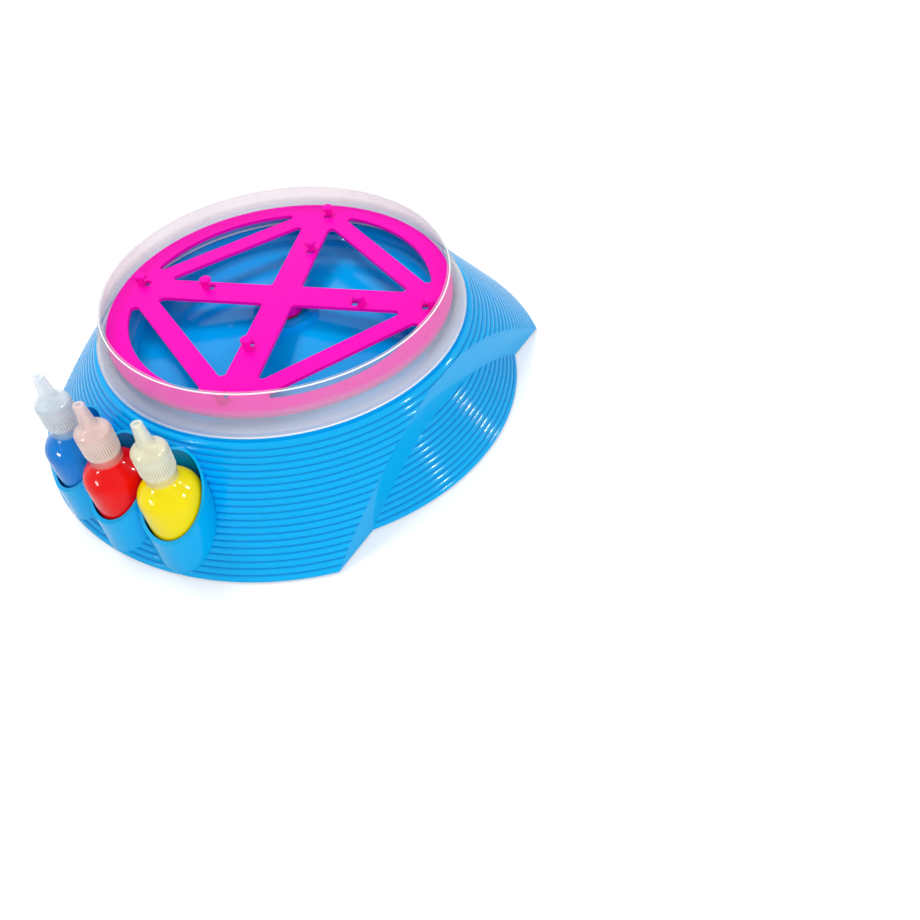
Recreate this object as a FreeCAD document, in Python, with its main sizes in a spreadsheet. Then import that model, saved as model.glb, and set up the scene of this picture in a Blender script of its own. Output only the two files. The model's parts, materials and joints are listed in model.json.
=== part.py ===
import FreeCAD, Part
import math
import os
import Sketcher

# Spin art machine. Millimetres, +Z up. The origin is on the spindle's axis, on the surface that
# the machine stands on. The bottles are at the front (-Y); the power button is on the left (-X).

doc = FreeCAD.newDocument("spin_art_machine")
sheet = doc.addObject("Spreadsheet::Sheet", "Dims")

DIMENSIONS = (
    # housing: a ribbed cone cut flat at both sides, with a lower ribbed tier in each cut
    ("base_gap", 1.0, "height of the housing's lower edge above the table"),
    ("wing_radius", 141.5, "housing cone at its lower edge"),
    ("neck_radius", 98.2, "housing cone at its top"),
    ("neck_height", 47.8, "top of the housing's neck"),
    ("flat_offset", 100.5, "spindle axis to each flat side"),
    ("tier_radius", 123.75, "lower tier at its lower edge"),
    ("tier_top_radius", 97.0, "lower tier at its top, inside the flat sides"),
    ("tier_height", 31.0, "top of the lower tier"),
    ("rib_bulge", 0.55, "how far each moulded bead stands out"),
    ("rib_flank", 0.25, "share of a bead's width that each flank takes"),
    ("wing_ribs", 20, "beads from the lower edge to the neck"),
    ("tier_ribs", 13, "beads on the lower tier"),
    ("housing_wall", 2.2, "thickness of the flat sides"),
    ("housing_run", 3.0, "horizontal thickness of the sloping walls"),
    ("neck_ledge", 2.0, "thickness of the ledge that carries the bowl"),
    ("neck_hole_radius", 94.2, "opening in the neck for the bowl"),
    ("seam_gap", 0.1, "gap along the seams between fixed mouldings"),
    # bottle cups
    ("cup_inset", 16.9, "housing's lower edge in to each cup's axis, at the cup's floor"),
    ("cup_pitch_angle", 14.2, "angle between neighbouring cups, degrees"),
    ("cup_lean_angle", 1.2, "lean of each cup towards the spindle, degrees"),
    ("cup_radius", 14.9, "inside of a cup"),
    ("cup_floor_height", 3.0, "top of the cup's floor above the table"),
    ("cup_foot_radius", 16.9, "outside of a cup at its foot"),
    ("cup_top_radius", 15.9, "outside of a cup at its top"),
    ("cup_length", 52.0, "cup's floor to the top of its uncut tube"),
    ("rim_height", 34.6, "cup's floor to its sloping rim, along the cup's axis"),
    ("rim_slope_angle", 43.2, "slope of the rim, degrees"),
    ("web_margin", 5.4, "outer cups' axes to the ends of the ribbed webs that join the cups"),
    ("web_inset", 1.0, "cups' circle in to the inner side of the webs"),
    # paint bowl
    ("bowl_flange_radius", 97.4, "bowl's flange, outside"),
    ("bowl_flange", 1.3, "thickness of the bowl's flange"),
    ("bowl_rim_radius", 92.1, "inside of the bowl at its rim"),
    ("bowl_rim_depth", 4.1, "depth of the bowl's straight rim"),
    ("bowl_wall", 1.8, "wall of the bowl"),
    ("bowl_step_width", 5.4, "width of each step in the bowl's side"),
    ("bowl_step_drop", 2.6, "drop of each step in the bowl's side"),
    ("bowl_floor_radius", 72.5, "outer edge of the bowl's sloping floor"),
    ("bowl_floor_low", 38.4, "height of the floor at its outer edge"),
    ("bowl_floor_high", 44.5, "height of the floor at the boss"),
    ("boss_foot_radius", 19.2, "where the floor meets the boss"),
    ("boss_radius", 17.0, "outside of the splash boss"),
    ("boss_well_radius", 11.5, "well inside the splash boss"),
    ("boss_height", 48.0, "top of the splash boss"),
    ("boss_well_height", 46.4, "floor of the well"),
    ("bowl_hole_radius", 6.0, "hole for the spindle"),
    ("bowl_post_offset", 26.0, "spindle axis to each motor bracket post"),
    ("bowl_post_radius", 3.4, "motor bracket post"),
    # splash guard
    ("guard_foot_radius", 96.9, "splash guard, outside, at its foot"),
    ("guard_top_radius", 89.2, "splash guard, outside, at its rim"),
    ("guard_top", 69.5, "height of the guard's rim"),
    ("guard_wall", 1.5, "wall of the guard"),
    ("guard_lift", 0.1, "gap under the guard's foot"),
    ("guard_spigot_drop", 3.8, "depth of the ring that centres the guard in the bowl"),
    ("guard_spigot_gap", 0.3, "gap round that ring"),
    ("guard_spigot_wall", 1.2, "thickness of that ring"),
    # turntable
    ("turn_radius", 90.0, "turntable, outside"),
    ("turn_top", 57.0, "height of the turntable's upper face"),
    ("turn_plate", 2.0, "thickness of the turntable"),
    ("turn_ring_inside", 79.0, "inside of the turntable's ring"),
    ("spoke_width", 16.0, "width of the cross's arms"),
    ("bar_inside", 53.5, "spindle axis to the inner edge of each bar"),
    ("bar_outside", 64.0, "spindle axis to the outer edge of each bar"),
    ("opening_fillet", 2.2, "corner radius of the openings"),
    ("turn_rest_angle", -22.9, "turntable's turn at rest, degrees"),
    ("hub_radius", 9.7, "turntable's hub"),
    ("hub_drop", 6.0, "length of the hub below the plate"),
    ("socket_depth", 4.6, "depth of the hub's socket"),
    ("socket_gap", 0.15, "gap round the plug in the socket"),
    ("peg_outer_circle", 81.0, "circle of the outer pegs"),
    ("peg_inner_circle", 44.0, "circle of the inner pegs"),
    ("peg_offset", 3.6, "pegs' offset from the arm's centre line"),
    ("peg_radius", 1.9, "post of a peg"),
    ("peg_height", 5.0, "height of a peg above the plate"),
    ("lip_radius", 2.7, "lip at the top of a peg"),
    ("lip_reach", 1.3, "lip's offset towards the spindle"),
    ("lip_height", 1.6, "thickness of the lip"),
    ("core_hole_length", 3.2, "hole in the plate under each lip, radially"),
    ("core_hole_width", 4.0, "hole in the plate under each lip, across"),
    # spindle and motor
    ("plug_radius", 4.5, "spindle plug"),
    ("plug_flat", 3.6, "axis to the plug's flats"),
    ("plug_bottom", 38.0, "lower end of the plug"),
    ("slinger_radius", 8.6, "collar that keeps paint out of the bearing"),
    ("slinger_height", 1.9, "thickness of the collar"),
    ("shaft_radius", 1.0, "motor shaft"),
    ("shaft_bottom", 6.5, "lower end of the motor shaft"),
    ("shaft_grip", 7.5, "length of the shaft in the plug"),
    ("bearing_gap", 0.05, "running gap round the shaft"),
    ("motor_radius", 12.0, "motor can"),
    ("motor_bottom", 8.0, "lower end of the can"),
    ("motor_top", 33.0, "upper end of the can"),
    ("end_cap_height", 3.0, "thickness of the motor's end cap"),
    ("can_wall", 1.2, "wall of the can"),
    ("bearing_radius", 3.1, "bearing boss on the can"),
    ("bearing_height", 2.4, "height of the bearing boss above the can"),
    ("bracket_plate", 1.5, "thickness of the motor bracket"),
    ("bracket_width", 22.0, "width of the motor bracket"),
    ("motor_screw_offset", 8.0, "spindle axis to each motor screw"),
    ("screw_radius", 1.2, "shank of the small screws"),
    ("screw_head_radius", 2.4, "head of the small screws"),
    ("screw_head", 1.4, "thickness of a screw's head"),
    # bottom cover, feet and battery box
    ("cover_bottom", 1.6, "underside of the bottom cover"),
    ("cover_plate", 2.0, "thickness of the bottom cover"),
    ("cover_gap", 0.4, "gap between the cover and the housing"),
    ("foot_radius", 7.0, "rubber foot"),
    ("foot_recess", 0.5, "depth of the recess for a foot"),
    ("foot_offset", 72.0, "feet from the spindle axis, along X and Y"),
    ("post_radius", 3.6, "screw posts in the housing"),
    ("post_side", 80.0, "corner screw posts, along X"),
    ("post_front", 80.0, "corner screw posts, along Y"),
    ("post_tier", 106.0, "side screw posts, along X"),
    ("cover_screw_length", 12.0, "shank of the cover screws"),
    ("cell_radius", 7.15, "AA cell"),
    ("cell_length", 49.0, "AA cell without its cap"),
    ("cell_cap_radius", 2.7, "positive cap of a cell"),
    ("cell_cap", 1.4, "height of the positive cap"),
    ("cell_pitch", 15.0, "distance between cells"),
    ("cell_count", 4, "number of cells"),
    ("box_start", 23.0, "spindle axis to the battery box's inside"),
    ("box_length", 57.0, "inside of the battery box along X"),
    ("box_wall", 1.6, "wall of the battery box"),
    ("box_headroom", 0.6, "gap above the cells"),
    ("contact_plate", 0.4, "thickness of the contact strips"),
    ("contact_width", 9.0, "width of a contact strip"),
    # battery door
    ("door_plate", 2.0, "thickness of the battery door"),
    ("door_gap", 0.3, "gap round the battery door"),
    ("door_ear_reach", 4.0, "door's front edge to its screw"),
    ("door_ear_round", 4.2, "screw to the edge of the recess round the door's ear"),
    ("door_ear_wall", 0.8, "wall round that recess"),
    ("door_ear_half", 7.0, "half width of that recess"),
    ("door_lap", 1.6, "how far the door laps the box's front and rear walls"),
    ("door_pin_radius", 0.6, "hinge pin of the door"),
    ("door_pin_length", 1.4, "length of each hinge pin beyond the door"),
    # power button and switch
    ("button_height", 35.0, "height of the button's axis"),
    ("button_radius", 6.2, "power button"),
    ("button_gap", 0.35, "gap round the button"),
    ("button_proud", 3.2, "how far the button stands out"),
    ("button_bevel", 1.2, "bevel round the button's face"),
    ("button_flange_radius", 7.3, "flange that keeps the button in"),
    ("button_flange", 1.2, "thickness of that flange"),
    ("button_play", 0.3, "gap between the flange and the wall"),
    ("button_stem", 2.4, "length of the button's stem"),
    ("button_travel", 2.0, "travel of the button"),
    ("switch_length", 8.0, "switch body along X"),
    ("switch_width", 12.0, "switch body along Y"),
    ("switch_tall", 9.0, "switch body along Z"),
    ("switch_pin_radius", 1.5, "switch plunger"),
    ("switch_pin_depth", 4.0, "length of the plunger inside the switch"),
    # paint bottles, each measured up its own axis from the cup's floor
    ("bottle_radius", 14.0, "bottle"),
    ("bottle_foot_radius", 12.6, "bottle at its base"),
    ("bottle_shoulder", 36.5, "where the shoulder starts"),
    ("shoulder_radius", 12.6, "shoulder at its outer bend"),
    ("shoulder_rise", 4.6, "start of the shoulder to its outer bend"),
    ("shoulder_inner_radius", 9.2, "shoulder at its inner bend"),
    ("shoulder_inner_rise", 8.6, "start of the shoulder to its inner bend"),
    ("bottle_neck_radius", 6.3, "bottle's neck"),
    ("bottle_neck_start", 47.6, "where the neck starts"),
    ("bottle_neck_top", 60.5, "top of the neck"),
    ("bottle_wall", 1.2, "wall of a bottle"),
    ("paint_gap", 0.05, "gap between the paint and the bottle"),
    ("paint_level", 44.0, "top of the paint"),
    ("cap_start", 51.0, "lower edge of the cap"),
    ("cap_radius", 7.5, "skirt of the cap at its lower edge"),
    ("cap_skirt", 12.4, "height of the skirt"),
    ("cap_flare", 0.4, "how far the skirt widens upwards"),
    ("cap_gap", 0.2, "gap between the cap and the neck"),
    ("cap_shoulder", 3.4, "height of the cap's shoulder"),
    ("cap_bevel", 1.3, "bend in the cap's shoulder"),
    ("nozzle_radius", 3.7, "nozzle at its root"),
    ("nozzle_tip_radius", 2.2, "nozzle at its tip"),
    ("nozzle_length", 12.5, "nozzle"),
    ("nozzle_bore", 1.1, "bore of the nozzle"),
    # internal wiring
    ("lead_radius", 0.7, "insulated lead"),
    ("lead_bend", 0.45, "bend radius of a lead, as a share of the shorter run beside it"),
    ("lead_side_run", 13.0, "battery box to the motor lead's run along its side"),
    ("lead_offset", 5.0, "leads' offset from the switch's axis"),
    ("lead_column", 74.0, "spindle axis to the leads' upright runs"),
)

for row, (alias, value, note) in enumerate(DIMENSIONS, 1):
    sheet.set(f"A{row}", note)
    sheet.set(f"B{row}", str(value))
    sheet.setAlias(f"B{row}", alias)
doc.recompute()


class Size:
    """A number together with the spreadsheet expression that gives it."""

    def __init__(self, value, text=None):
        self.value = float(value)
        self.text = text if text is not None else repr(float(value))

    def join(self, other, sign, value):
        return Size(value, f"({self.text} {sign} {other.text})")

    def __add__(self, other):
        other = as_size(other)
        return self.join(other, "+", self.value + other.value)

    def __sub__(self, other):
        other = as_size(other)
        return self.join(other, "-", self.value - other.value)

    def __mul__(self, other):
        other = as_size(other)
        return self.join(other, "*", self.value * other.value)

    def __truediv__(self, other):
        other = as_size(other)
        return self.join(other, "/", self.value / other.value)

    def __radd__(self, other):
        return as_size(other) + self

    def __rsub__(self, other):
        return as_size(other) - self

    def __rmul__(self, other):
        return as_size(other) * self

    def __neg__(self):
        return as_size(0) - self

    def __float__(self):
        return self.value


def as_size(number):
    return number if isinstance(number, Size) else Size(number)


def root(size):
    return Size(math.sqrt(size.value), f"sqrt({size.text})")


def sine(size):
    return Size(math.sin(math.radians(size.value)), f"sin({size.text} * 1 deg)")


def cosine(size):
    return Size(math.cos(math.radians(size.value)), f"cos({size.text} * 1 deg)")


class Dimensions:
    """Reads the spreadsheet's cells by alias."""

    def __getattr__(self, alias):
        return Size(sheet.get(alias), f"Dims.{alias}")


dim = Dimensions()
ZERO = Size(0)
pieces = []


def bind(obj, prop, size):
    obj.setExpression(prop, as_size(size).text)


UP = (0, 0, 1)
ACROSS = (0, 1, 0)
STRAIGHT = (UP, ZERO)


def placement_text(x=ZERO, y=ZERO, z=ZERO, turn=STRAIGHT):
    """The expression of a placement. The turn is an axis and an angle in degrees."""
    axis, angle = turn
    base = "; ".join(as_size(value).text for value in (x, y, z))
    axis = "; ".join(str(value) for value in axis)
    return (
        f"create(<<placement>>; create(<<vector>>; {base}); "
        f"create(<<rotation>>; create(<<vector>>; {axis}); {as_size(angle).text}))"
    )


def place(obj, *texts):
    """Binds an object's placement to a chain of placements, outermost first."""
    obj.setExpression("Placement", " * ".join(texts))
    return obj


def move(obj, x=ZERO, y=ZERO, z=ZERO, turn=STRAIGHT):
    return place(obj, placement_text(x, y, z, turn))


def piece(obj, label):
    """Names an object as one piece of the machine, to be written to its own file."""
    obj.Label = label
    pieces.append(obj)
    return obj


def plane_of(body, role):
    for feature in body.Origin.OriginFeatures:
        if feature.Role == role:
            return feature
    raise ValueError(role)


def new_sketch(body, name, role, height=None):
    sketch = body.newObject("Sketcher::SketchObject", name)
    sketch.AttachmentSupport = (plane_of(body, role), [""])
    sketch.MapMode = "FlatFace"
    if height is not None:
        bind(sketch, "AttachmentOffset.Base.z", height)
    return sketch


def pin_point(sketch, geometry, position, x, y):
    """Holds one point of a sketch at x, y, each bound to the spreadsheet."""
    for kind, axis, size in (("DistanceX", -2, x), ("DistanceY", -1, y)):
        if size is ZERO:
            sketch.addConstraint(Sketcher.Constraint("PointOnObject", geometry, position, axis))
        else:
            index = sketch.addConstraint(Sketcher.Constraint(kind, geometry, position, float(size)))
            bind(sketch, f"Constraints[{index}]", size)


def closed_profile(sketch, corners):
    """Closed outline. A corner is (x, y), or (x, y, bulge) where an arc of that bulge follows it."""
    count = len(corners)
    for index, corner in enumerate(corners):
        x, y = corner[:2]
        end_x, end_y = corners[(index + 1) % count][:2]
        start = FreeCAD.Vector(float(x), float(y), 0)
        end = FreeCAD.Vector(float(end_x), float(end_y), 0)
        if len(corner) == 3:
            bulge = corner[2]
            along = (end - start).normalize()
            outward = FreeCAD.Vector(along.y, -along.x, 0)
            middle = (start + end) * 0.5 + outward * float(bulge)
            sketch.addGeometry(Part.Arc(start, middle, end))
        else:
            sketch.addGeometry(Part.LineSegment(start, end))
    for index, corner in enumerate(corners):
        x, y = corner[:2]
        end_x, end_y = corners[(index + 1) % count][:2]
        following = (index + 1) % count
        sketch.addConstraint(
            Sketcher.Constraint(
                "Coincident", index, end_point(corner), following, start_point(corners[following])
            )
        )
        pin_point(sketch, index, start_point(corner), as_size(x), as_size(y))
        if len(corner) == 3:
            bulge = abs_size(corner[2])
            chord = root((end_x - x) * (end_x - x) + (end_y - y) * (end_y - y))
            radius = (chord * chord / 4 + bulge * bulge) / (2 * bulge)
            number = sketch.addConstraint(Sketcher.Constraint("Radius", index, float(radius)))
            bind(sketch, f"Constraints[{number}]", radius)


def abs_size(size):
    return size if float(size) >= 0 else -size


def start_point(corner):
    """An arc runs anticlockwise, so one that bulges outward from an anticlockwise outline keeps its ends."""
    return 2 if len(corner) == 3 and float(corner[2]) < 0 else 1


def end_point(corner):
    return 1 if len(corner) == 3 and float(corner[2]) < 0 else 2


def turned(label, corners):
    """A body turned about its own Z from an anticlockwise outline of (radius, height) corners."""
    body = doc.addObject("PartDesign::Body", label)
    sketch = new_sketch(body, label + "_profile", "XZ_Plane")
    closed_profile(sketch, corners)
    revolution = body.newObject("PartDesign::Revolution", label + "_turn")
    revolution.Profile = sketch
    revolution.ReferenceAxis = (sketch, ["V_Axis"])
    revolution.Angle = 360.0
    return body


def cylinder(name, radius, height, x=ZERO, y=ZERO, z=ZERO, turn=STRAIGHT):
    obj = doc.addObject("Part::Cylinder", name)
    bind(obj, "Radius", radius)
    bind(obj, "Height", height)
    return move(obj, x, y, z, turn)


def cone(name, foot, top, height):
    obj = doc.addObject("Part::Cone", name)
    bind(obj, "Radius1", foot)
    bind(obj, "Radius2", top)
    bind(obj, "Height", height)
    return obj


def box(name, length, width, height):
    obj = doc.addObject("Part::Box", name)
    for prop, size in (("Length", length), ("Width", width), ("Height", height)):
        bind(obj, prop, size)
    return obj


def block(name, low, high):
    """A box between two corners."""
    obj = box(name, *(as_size(end) - start for start, end in zip(low, high)))
    return move(obj, *low)


def fused(name, shapes):
    obj = doc.addObject("Part::MultiFuse", name)
    obj.Shapes = shapes
    return obj


def shared(name, shapes):
    obj = doc.addObject("Part::MultiCommon", name)
    obj.Shapes = shapes
    return obj


def cut(name, base, tools):
    obj = doc.addObject("Part::Cut", name)
    obj.Base = base
    obj.Tool = tools[0] if len(tools) == 1 else fused(name + "_tools", tools)
    return obj


def between(low, high, part):
    return low + (high - low) * part


# ---- Frames shared by several pieces -------------------------------------------------------

CUPS = (("blue", -1), ("red", 0), ("yellow", 1))


cup_circle = dim.wing_radius - dim.cup_inset


def cup_frame(step):
    """The frame of one cup: origin on its floor, Z up its leaning axis, X away from the spindle."""
    angle = step * dim.cup_pitch_angle - 90
    seat = placement_text(
        cup_circle * cosine(angle), cup_circle * sine(angle), dim.cup_floor_height, (UP, angle)
    )
    return seat + " * " + placement_text(turn=(ACROSS, -dim.cup_lean_angle))


wing_slope = (dim.wing_radius - dim.neck_radius) / (dim.neck_height - dim.base_gap)
tier_slope = (dim.tier_radius - dim.tier_top_radius) / (dim.tier_height - dim.base_gap)


def ribbed_corners(foot, top, height, ribs):
    """The outline of a cone whose side is a row of beads, each with two flanks and a crown."""
    lean = (foot - top) / (height - dim.base_gap)
    share = root(1 + lean * lean)
    corners = [(ZERO, dim.base_gap)]
    for index in range(int(float(ribs))):
        part = Size(index) / ribs
        corners.append((between(foot, top, part), between(dim.base_gap, height, part)))
        for along in (dim.rib_flank, 1 - dim.rib_flank):
            part = (index + along) / ribs
            corners.append(
                (
                    between(foot, top, part) + dim.rib_bulge / share,
                    between(dim.base_gap, height, part) + dim.rib_bulge * lean / share,
                )
            )
    corners.append((top, height))
    corners.append((ZERO, height))
    return corners


def cavity_corners(foot, slope, height):
    """The smooth inside of a ribbed cone, up to the given height."""
    inside = foot - dim.housing_run
    return [
        (ZERO, ZERO),
        (inside + slope * dim.base_gap, ZERO),
        (inside - slope * (height - dim.base_gap), height),
        (ZERO, height),
    ]


# ---- Upper housing and bottle cups ---------------------------------------------------------


def flat_slab(name, offset):
    reach = dim.wing_radius * 1.1
    return block(name, (-offset, -reach, -ONE), (offset, reach, dim.neck_height * 1.1))


ONE = Size(1)

wing_form = turned(
    "wing_form",
    ribbed_corners(dim.wing_radius, dim.neck_radius, dim.neck_height, dim.wing_ribs),
)
tier_form = turned(
    "tier_form",
    ribbed_corners(dim.tier_radius, dim.tier_top_radius, dim.tier_height, dim.tier_ribs),
)
wing_block = shared("wing_block", [wing_form, flat_slab("wing_slab", dim.flat_offset)])
outer_form = fused("outer_form", [wing_block, tier_form])

wing_cavity = turned(
    "wing_cavity",
    cavity_corners(dim.wing_radius, wing_slope, dim.neck_height - dim.neck_ledge),
)
tier_cavity = turned(
    "tier_cavity",
    cavity_corners(dim.tier_radius, tier_slope, dim.tier_height - dim.housing_wall),
)
inner_slab = flat_slab("inner_slab", dim.flat_offset - dim.housing_wall)
cavity = fused("cavity", [shared("wing_hollow", [wing_cavity, inner_slab]), tier_cavity])
neck_hole = cylinder(
    "neck_hole", dim.neck_hole_radius, dim.neck_ledge * 3, z=dim.neck_height - dim.neck_ledge * 2
)
housing_shell = cut("housing_shell", outer_form, [cavity, neck_hole])

lobes = []
lobe_clearances = []
pockets = []
floor_drop = dim.cup_floor_height - dim.base_gap
for colour, step in CUPS:
    frame = cup_frame(step)
    lobe = cone(
        f"lobe_{colour}", dim.cup_foot_radius, dim.cup_top_radius, dim.cup_length + floor_drop
    )
    place(lobe, frame, placement_text(z=-floor_drop))
    above_rim = box(
        f"above_rim_{colour}", dim.cup_length * 2, dim.cup_length * 2, dim.cup_length * 2
    )
    place(
        above_rim,
        frame,
        placement_text(z=dim.rim_height, turn=(ACROSS, dim.rim_slope_angle)),
        placement_text(-dim.cup_length, -dim.cup_length),
    )
    lobes.append(cut(f"sloped_lobe_{colour}", lobe, [above_rim]))
    clearance = cone(
        f"lobe_clearance_{colour}",
        dim.cup_foot_radius + dim.seam_gap,
        dim.cup_top_radius + dim.seam_gap,
        dim.cup_length + floor_drop,
    )
    place(clearance, frame, placement_text(z=-floor_drop))
    lobe_foot = cylinder(
        f"lobe_foot_{colour}", dim.cup_foot_radius + dim.seam_gap, dim.cup_floor_height
    )
    place(lobe_foot, frame, placement_text(z=-floor_drop - dim.cup_floor_height))
    lobe_clearances += [clearance, lobe_foot]
    pocket = cylinder(f"pocket_{colour}", dim.cup_radius, dim.cup_length * 2)
    pockets.append(place(pocket, frame))

outer_cup_x = cup_circle * sine(dim.cup_pitch_angle)
outer_cup_y = cup_circle * cosine(dim.cup_pitch_angle)
web_zone = block(
    "web_zone",
    (-(outer_cup_x + dim.web_margin), -dim.wing_radius * 1.1, ZERO),
    (outer_cup_x + dim.web_margin, -(cup_circle - dim.web_inset), dim.neck_height),
)
webs = shared("webs", [housing_shell, web_zone])
cup_limit = cylinder("cup_limit", dim.wing_radius, dim.guard_top, z=dim.base_gap)
cups_outside = shared("cups_outside", [fused("cups_joined", lobes + [webs]), cup_limit])
piece(cut("bottle_cups", cups_outside, pockets), "bottle_cups")

POST_PLACES = [
    (sign_x * dim.post_side, sign_y * dim.post_front) for sign_x in (1, -1) for sign_y in (1, -1)
] + [(dim.post_tier, ZERO), (-dim.post_tier, ZERO)]

cover_top = dim.cover_bottom + dim.cover_plate
posts = [
    cylinder(f"post_{index}", dim.post_radius, dim.neck_height, x, y, cover_top)
    for index, (x, y) in enumerate(POST_PLACES)
]
post_holes = [
    cylinder(f"post_hole_{index}", dim.screw_radius, dim.cover_screw_length, x, y, cover_top - 1)
    for index, (x, y) in enumerate(POST_PLACES)
]
ALONG_MINUS_X = (ACROSS, -90)
ALONG_X = (ACROSS, 90)
button_hole = cylinder(
    "button_hole",
    dim.button_radius + dim.button_gap,
    dim.housing_wall * 6,
    x=-(dim.flat_offset - dim.housing_wall * 3),
    z=dim.button_height,
    turn=ALONG_MINUS_X,
)
inner_posts = shared("inner_posts", [fused("post_set", posts), outer_form])
housing_solid = fused("housing_solid", [housing_shell, inner_posts])
piece(
    cut(
        "upper_housing",
        housing_solid,
        lobe_clearances + [web_zone, button_hole] + post_holes,
    ),
    "upper_housing",
)

# ---- Paint bowl ----------------------------------------------------------------------------

flange_top = dim.neck_height + dim.bowl_flange
rim_bottom = flange_top - dim.bowl_rim_depth
step_run = 1.4


def bowl_step(index):
    """Upper outer corner and lower corner of one step in the bowl's side."""
    outer = dim.bowl_rim_radius - dim.bowl_step_width * (index + 1)
    upper = rim_bottom - dim.bowl_step_drop * index
    return outer, upper


bowl_side = []
for index in (0, 1):
    step_radius, step_height = bowl_step(index)
    bowl_side.append((step_radius, step_height))
    bowl_side.append((step_radius - step_run, step_height - dim.bowl_step_drop))

under_side = []
for radius, height in reversed(bowl_side):
    under_side.append((radius + dim.bowl_wall, height - dim.bowl_wall))

bowl_corners = (
    [
        (dim.bowl_hole_radius, dim.bowl_floor_high - dim.bowl_wall),
        (dim.boss_foot_radius, dim.bowl_floor_high - dim.bowl_wall),
        (dim.bowl_floor_radius, dim.bowl_floor_low - dim.bowl_wall),
    ]
    + under_side
    + [
        (dim.bowl_rim_radius + dim.bowl_wall, rim_bottom - dim.bowl_wall),
        (dim.bowl_rim_radius + dim.bowl_wall, dim.neck_height),
        (dim.bowl_flange_radius, dim.neck_height),
        (dim.bowl_flange_radius, flange_top),
        (dim.bowl_rim_radius, flange_top),
        (dim.bowl_rim_radius, rim_bottom),
    ]
    + bowl_side
    + [
        (dim.bowl_floor_radius, dim.bowl_floor_low),
        (dim.boss_foot_radius, dim.bowl_floor_high),
        (dim.boss_radius, dim.bowl_floor_high),
        (dim.boss_radius, dim.boss_height),
        (dim.boss_well_radius, dim.boss_height),
        (dim.boss_well_radius, dim.boss_well_height),
        (dim.bowl_hole_radius, dim.boss_well_height),
    ]
)
bowl_body = turned("bowl_body", bowl_corners)
bracket_top = dim.motor_top + dim.bracket_plate
bowl_posts = []
bowl_post_holes = []
for side in (1, -1):
    post_top = dim.bowl_floor_high - dim.bowl_wall / 2
    bowl_posts.append(
        cylinder(
            f"bowl_post_{2 - side}",
            dim.bowl_post_radius,
            post_top - bracket_top - 1,
            x=side * dim.bowl_post_offset,
            z=bracket_top,
        )
    )
    bowl_post_holes.append(
        cylinder(
            f"bowl_post_hole_{2 - side}",
            dim.screw_radius,
            dim.bowl_floor_high - dim.bowl_wall - bracket_top - 1,
            x=side * dim.bowl_post_offset,
            z=bracket_top - 1,
        )
    )
bowl_solid = fused("bowl_solid", [bowl_body] + bowl_posts)
piece(cut("paint_bowl", bowl_solid, bowl_post_holes), "paint_bowl")

# ---- Splash guard --------------------------------------------------------------------------

guard_foot = flange_top + dim.guard_lift
spigot_outside = dim.bowl_rim_radius - dim.guard_spigot_gap
spigot_inside = spigot_outside - dim.guard_spigot_wall
piece(
    turned(
        "guard_body",
        [
            (spigot_inside, guard_foot - dim.guard_spigot_drop),
            (spigot_outside, guard_foot - dim.guard_spigot_drop),
            (spigot_outside, guard_foot),
            (dim.guard_foot_radius, guard_foot),
            (dim.guard_foot_radius, guard_foot + dim.guard_wall),
            (dim.guard_top_radius, dim.guard_top),
            (dim.guard_top_radius - dim.guard_wall, dim.guard_top),
            (dim.guard_foot_radius - dim.guard_wall, guard_foot + dim.guard_wall),
            (spigot_inside, guard_foot + dim.guard_wall),
        ],
    ),
    "splash_guard",
)

# ---- Turntable -----------------------------------------------------------------------------

turn_bottom = dim.turn_top - dim.turn_plate


def rounded_outline(sketch, centres, radius):
    """Closed outline round three or more fillet centres, taken anticlockwise."""
    count = len(centres)
    points = [FreeCAD.Vector(float(x), float(y), 0) for x, y in centres]
    size = float(radius)
    normals = []
    for index in range(count):
        along = (points[(index + 1) % count] - points[index]).normalize()
        normals.append(FreeCAD.Vector(along.y, -along.x, 0))
    for index in range(count):
        start = points[index] + normals[index] * size
        end = points[(index + 1) % count] + normals[index] * size
        sketch.addGeometry(Part.LineSegment(start, end))
    for index in range(count):
        before = normals[index - 1]
        after = normals[index]
        first = math.atan2(before.y, before.x)
        last = math.atan2(after.y, after.x)
        if last < first:
            last += 2 * math.pi
        circle = Part.Circle(points[index], FreeCAD.Vector(0, 0, 1), size)
        sketch.addGeometry(Part.ArcOfCircle(circle, first, last))
    for index, (x, y) in enumerate(centres):
        arc = count + index
        pin_point(sketch, arc, 3, as_size(x), as_size(y))
        number = sketch.addConstraint(Sketcher.Constraint("Radius", arc, size))
        bind(sketch, f"Constraints[{number}]", radius)
        line_before = (index - 1) % count
        sketch.addConstraint(Sketcher.Constraint("Tangent", line_before, 2, arc, 1))
        sketch.addConstraint(Sketcher.Constraint("Tangent", arc, 2, index, 1))


def circle_sketch(sketch, radius, x=ZERO, y=ZERO):
    circle = Part.Circle(FreeCAD.Vector(float(x), float(y), 0), FreeCAD.Vector(0, 0, 1), float(radius))
    index = sketch.addGeometry(circle)
    pin_point(sketch, index, 3, as_size(x), as_size(y))
    number = sketch.addConstraint(Sketcher.Constraint("Radius", index, float(radius)))
    bind(sketch, f"Constraints[{number}]", radius)


def pad(body, name, sketch, length, reversed_side=False):
    feature = body.newObject("PartDesign::Pad", name)
    feature.Profile = sketch
    bind(feature, "Length", length)
    feature.Reversed = reversed_side
    return feature


def pocket_through(body, name, sketch, length, reversed_side=False):
    feature = body.newObject("PartDesign::Pocket", name)
    feature.Profile = sketch
    bind(feature, "Length", length)
    feature.Reversed = reversed_side
    return feature


def around_spindle(body, name, features, count):
    pattern = body.newObject("PartDesign::PolarPattern", name)
    pattern.Originals = features
    pattern.Axis = (plane_of(body, "Z_Axis"), [""])
    pattern.Angle = 360.0
    pattern.Occurrences = count
    body.Tip = pattern
    return pattern


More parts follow.
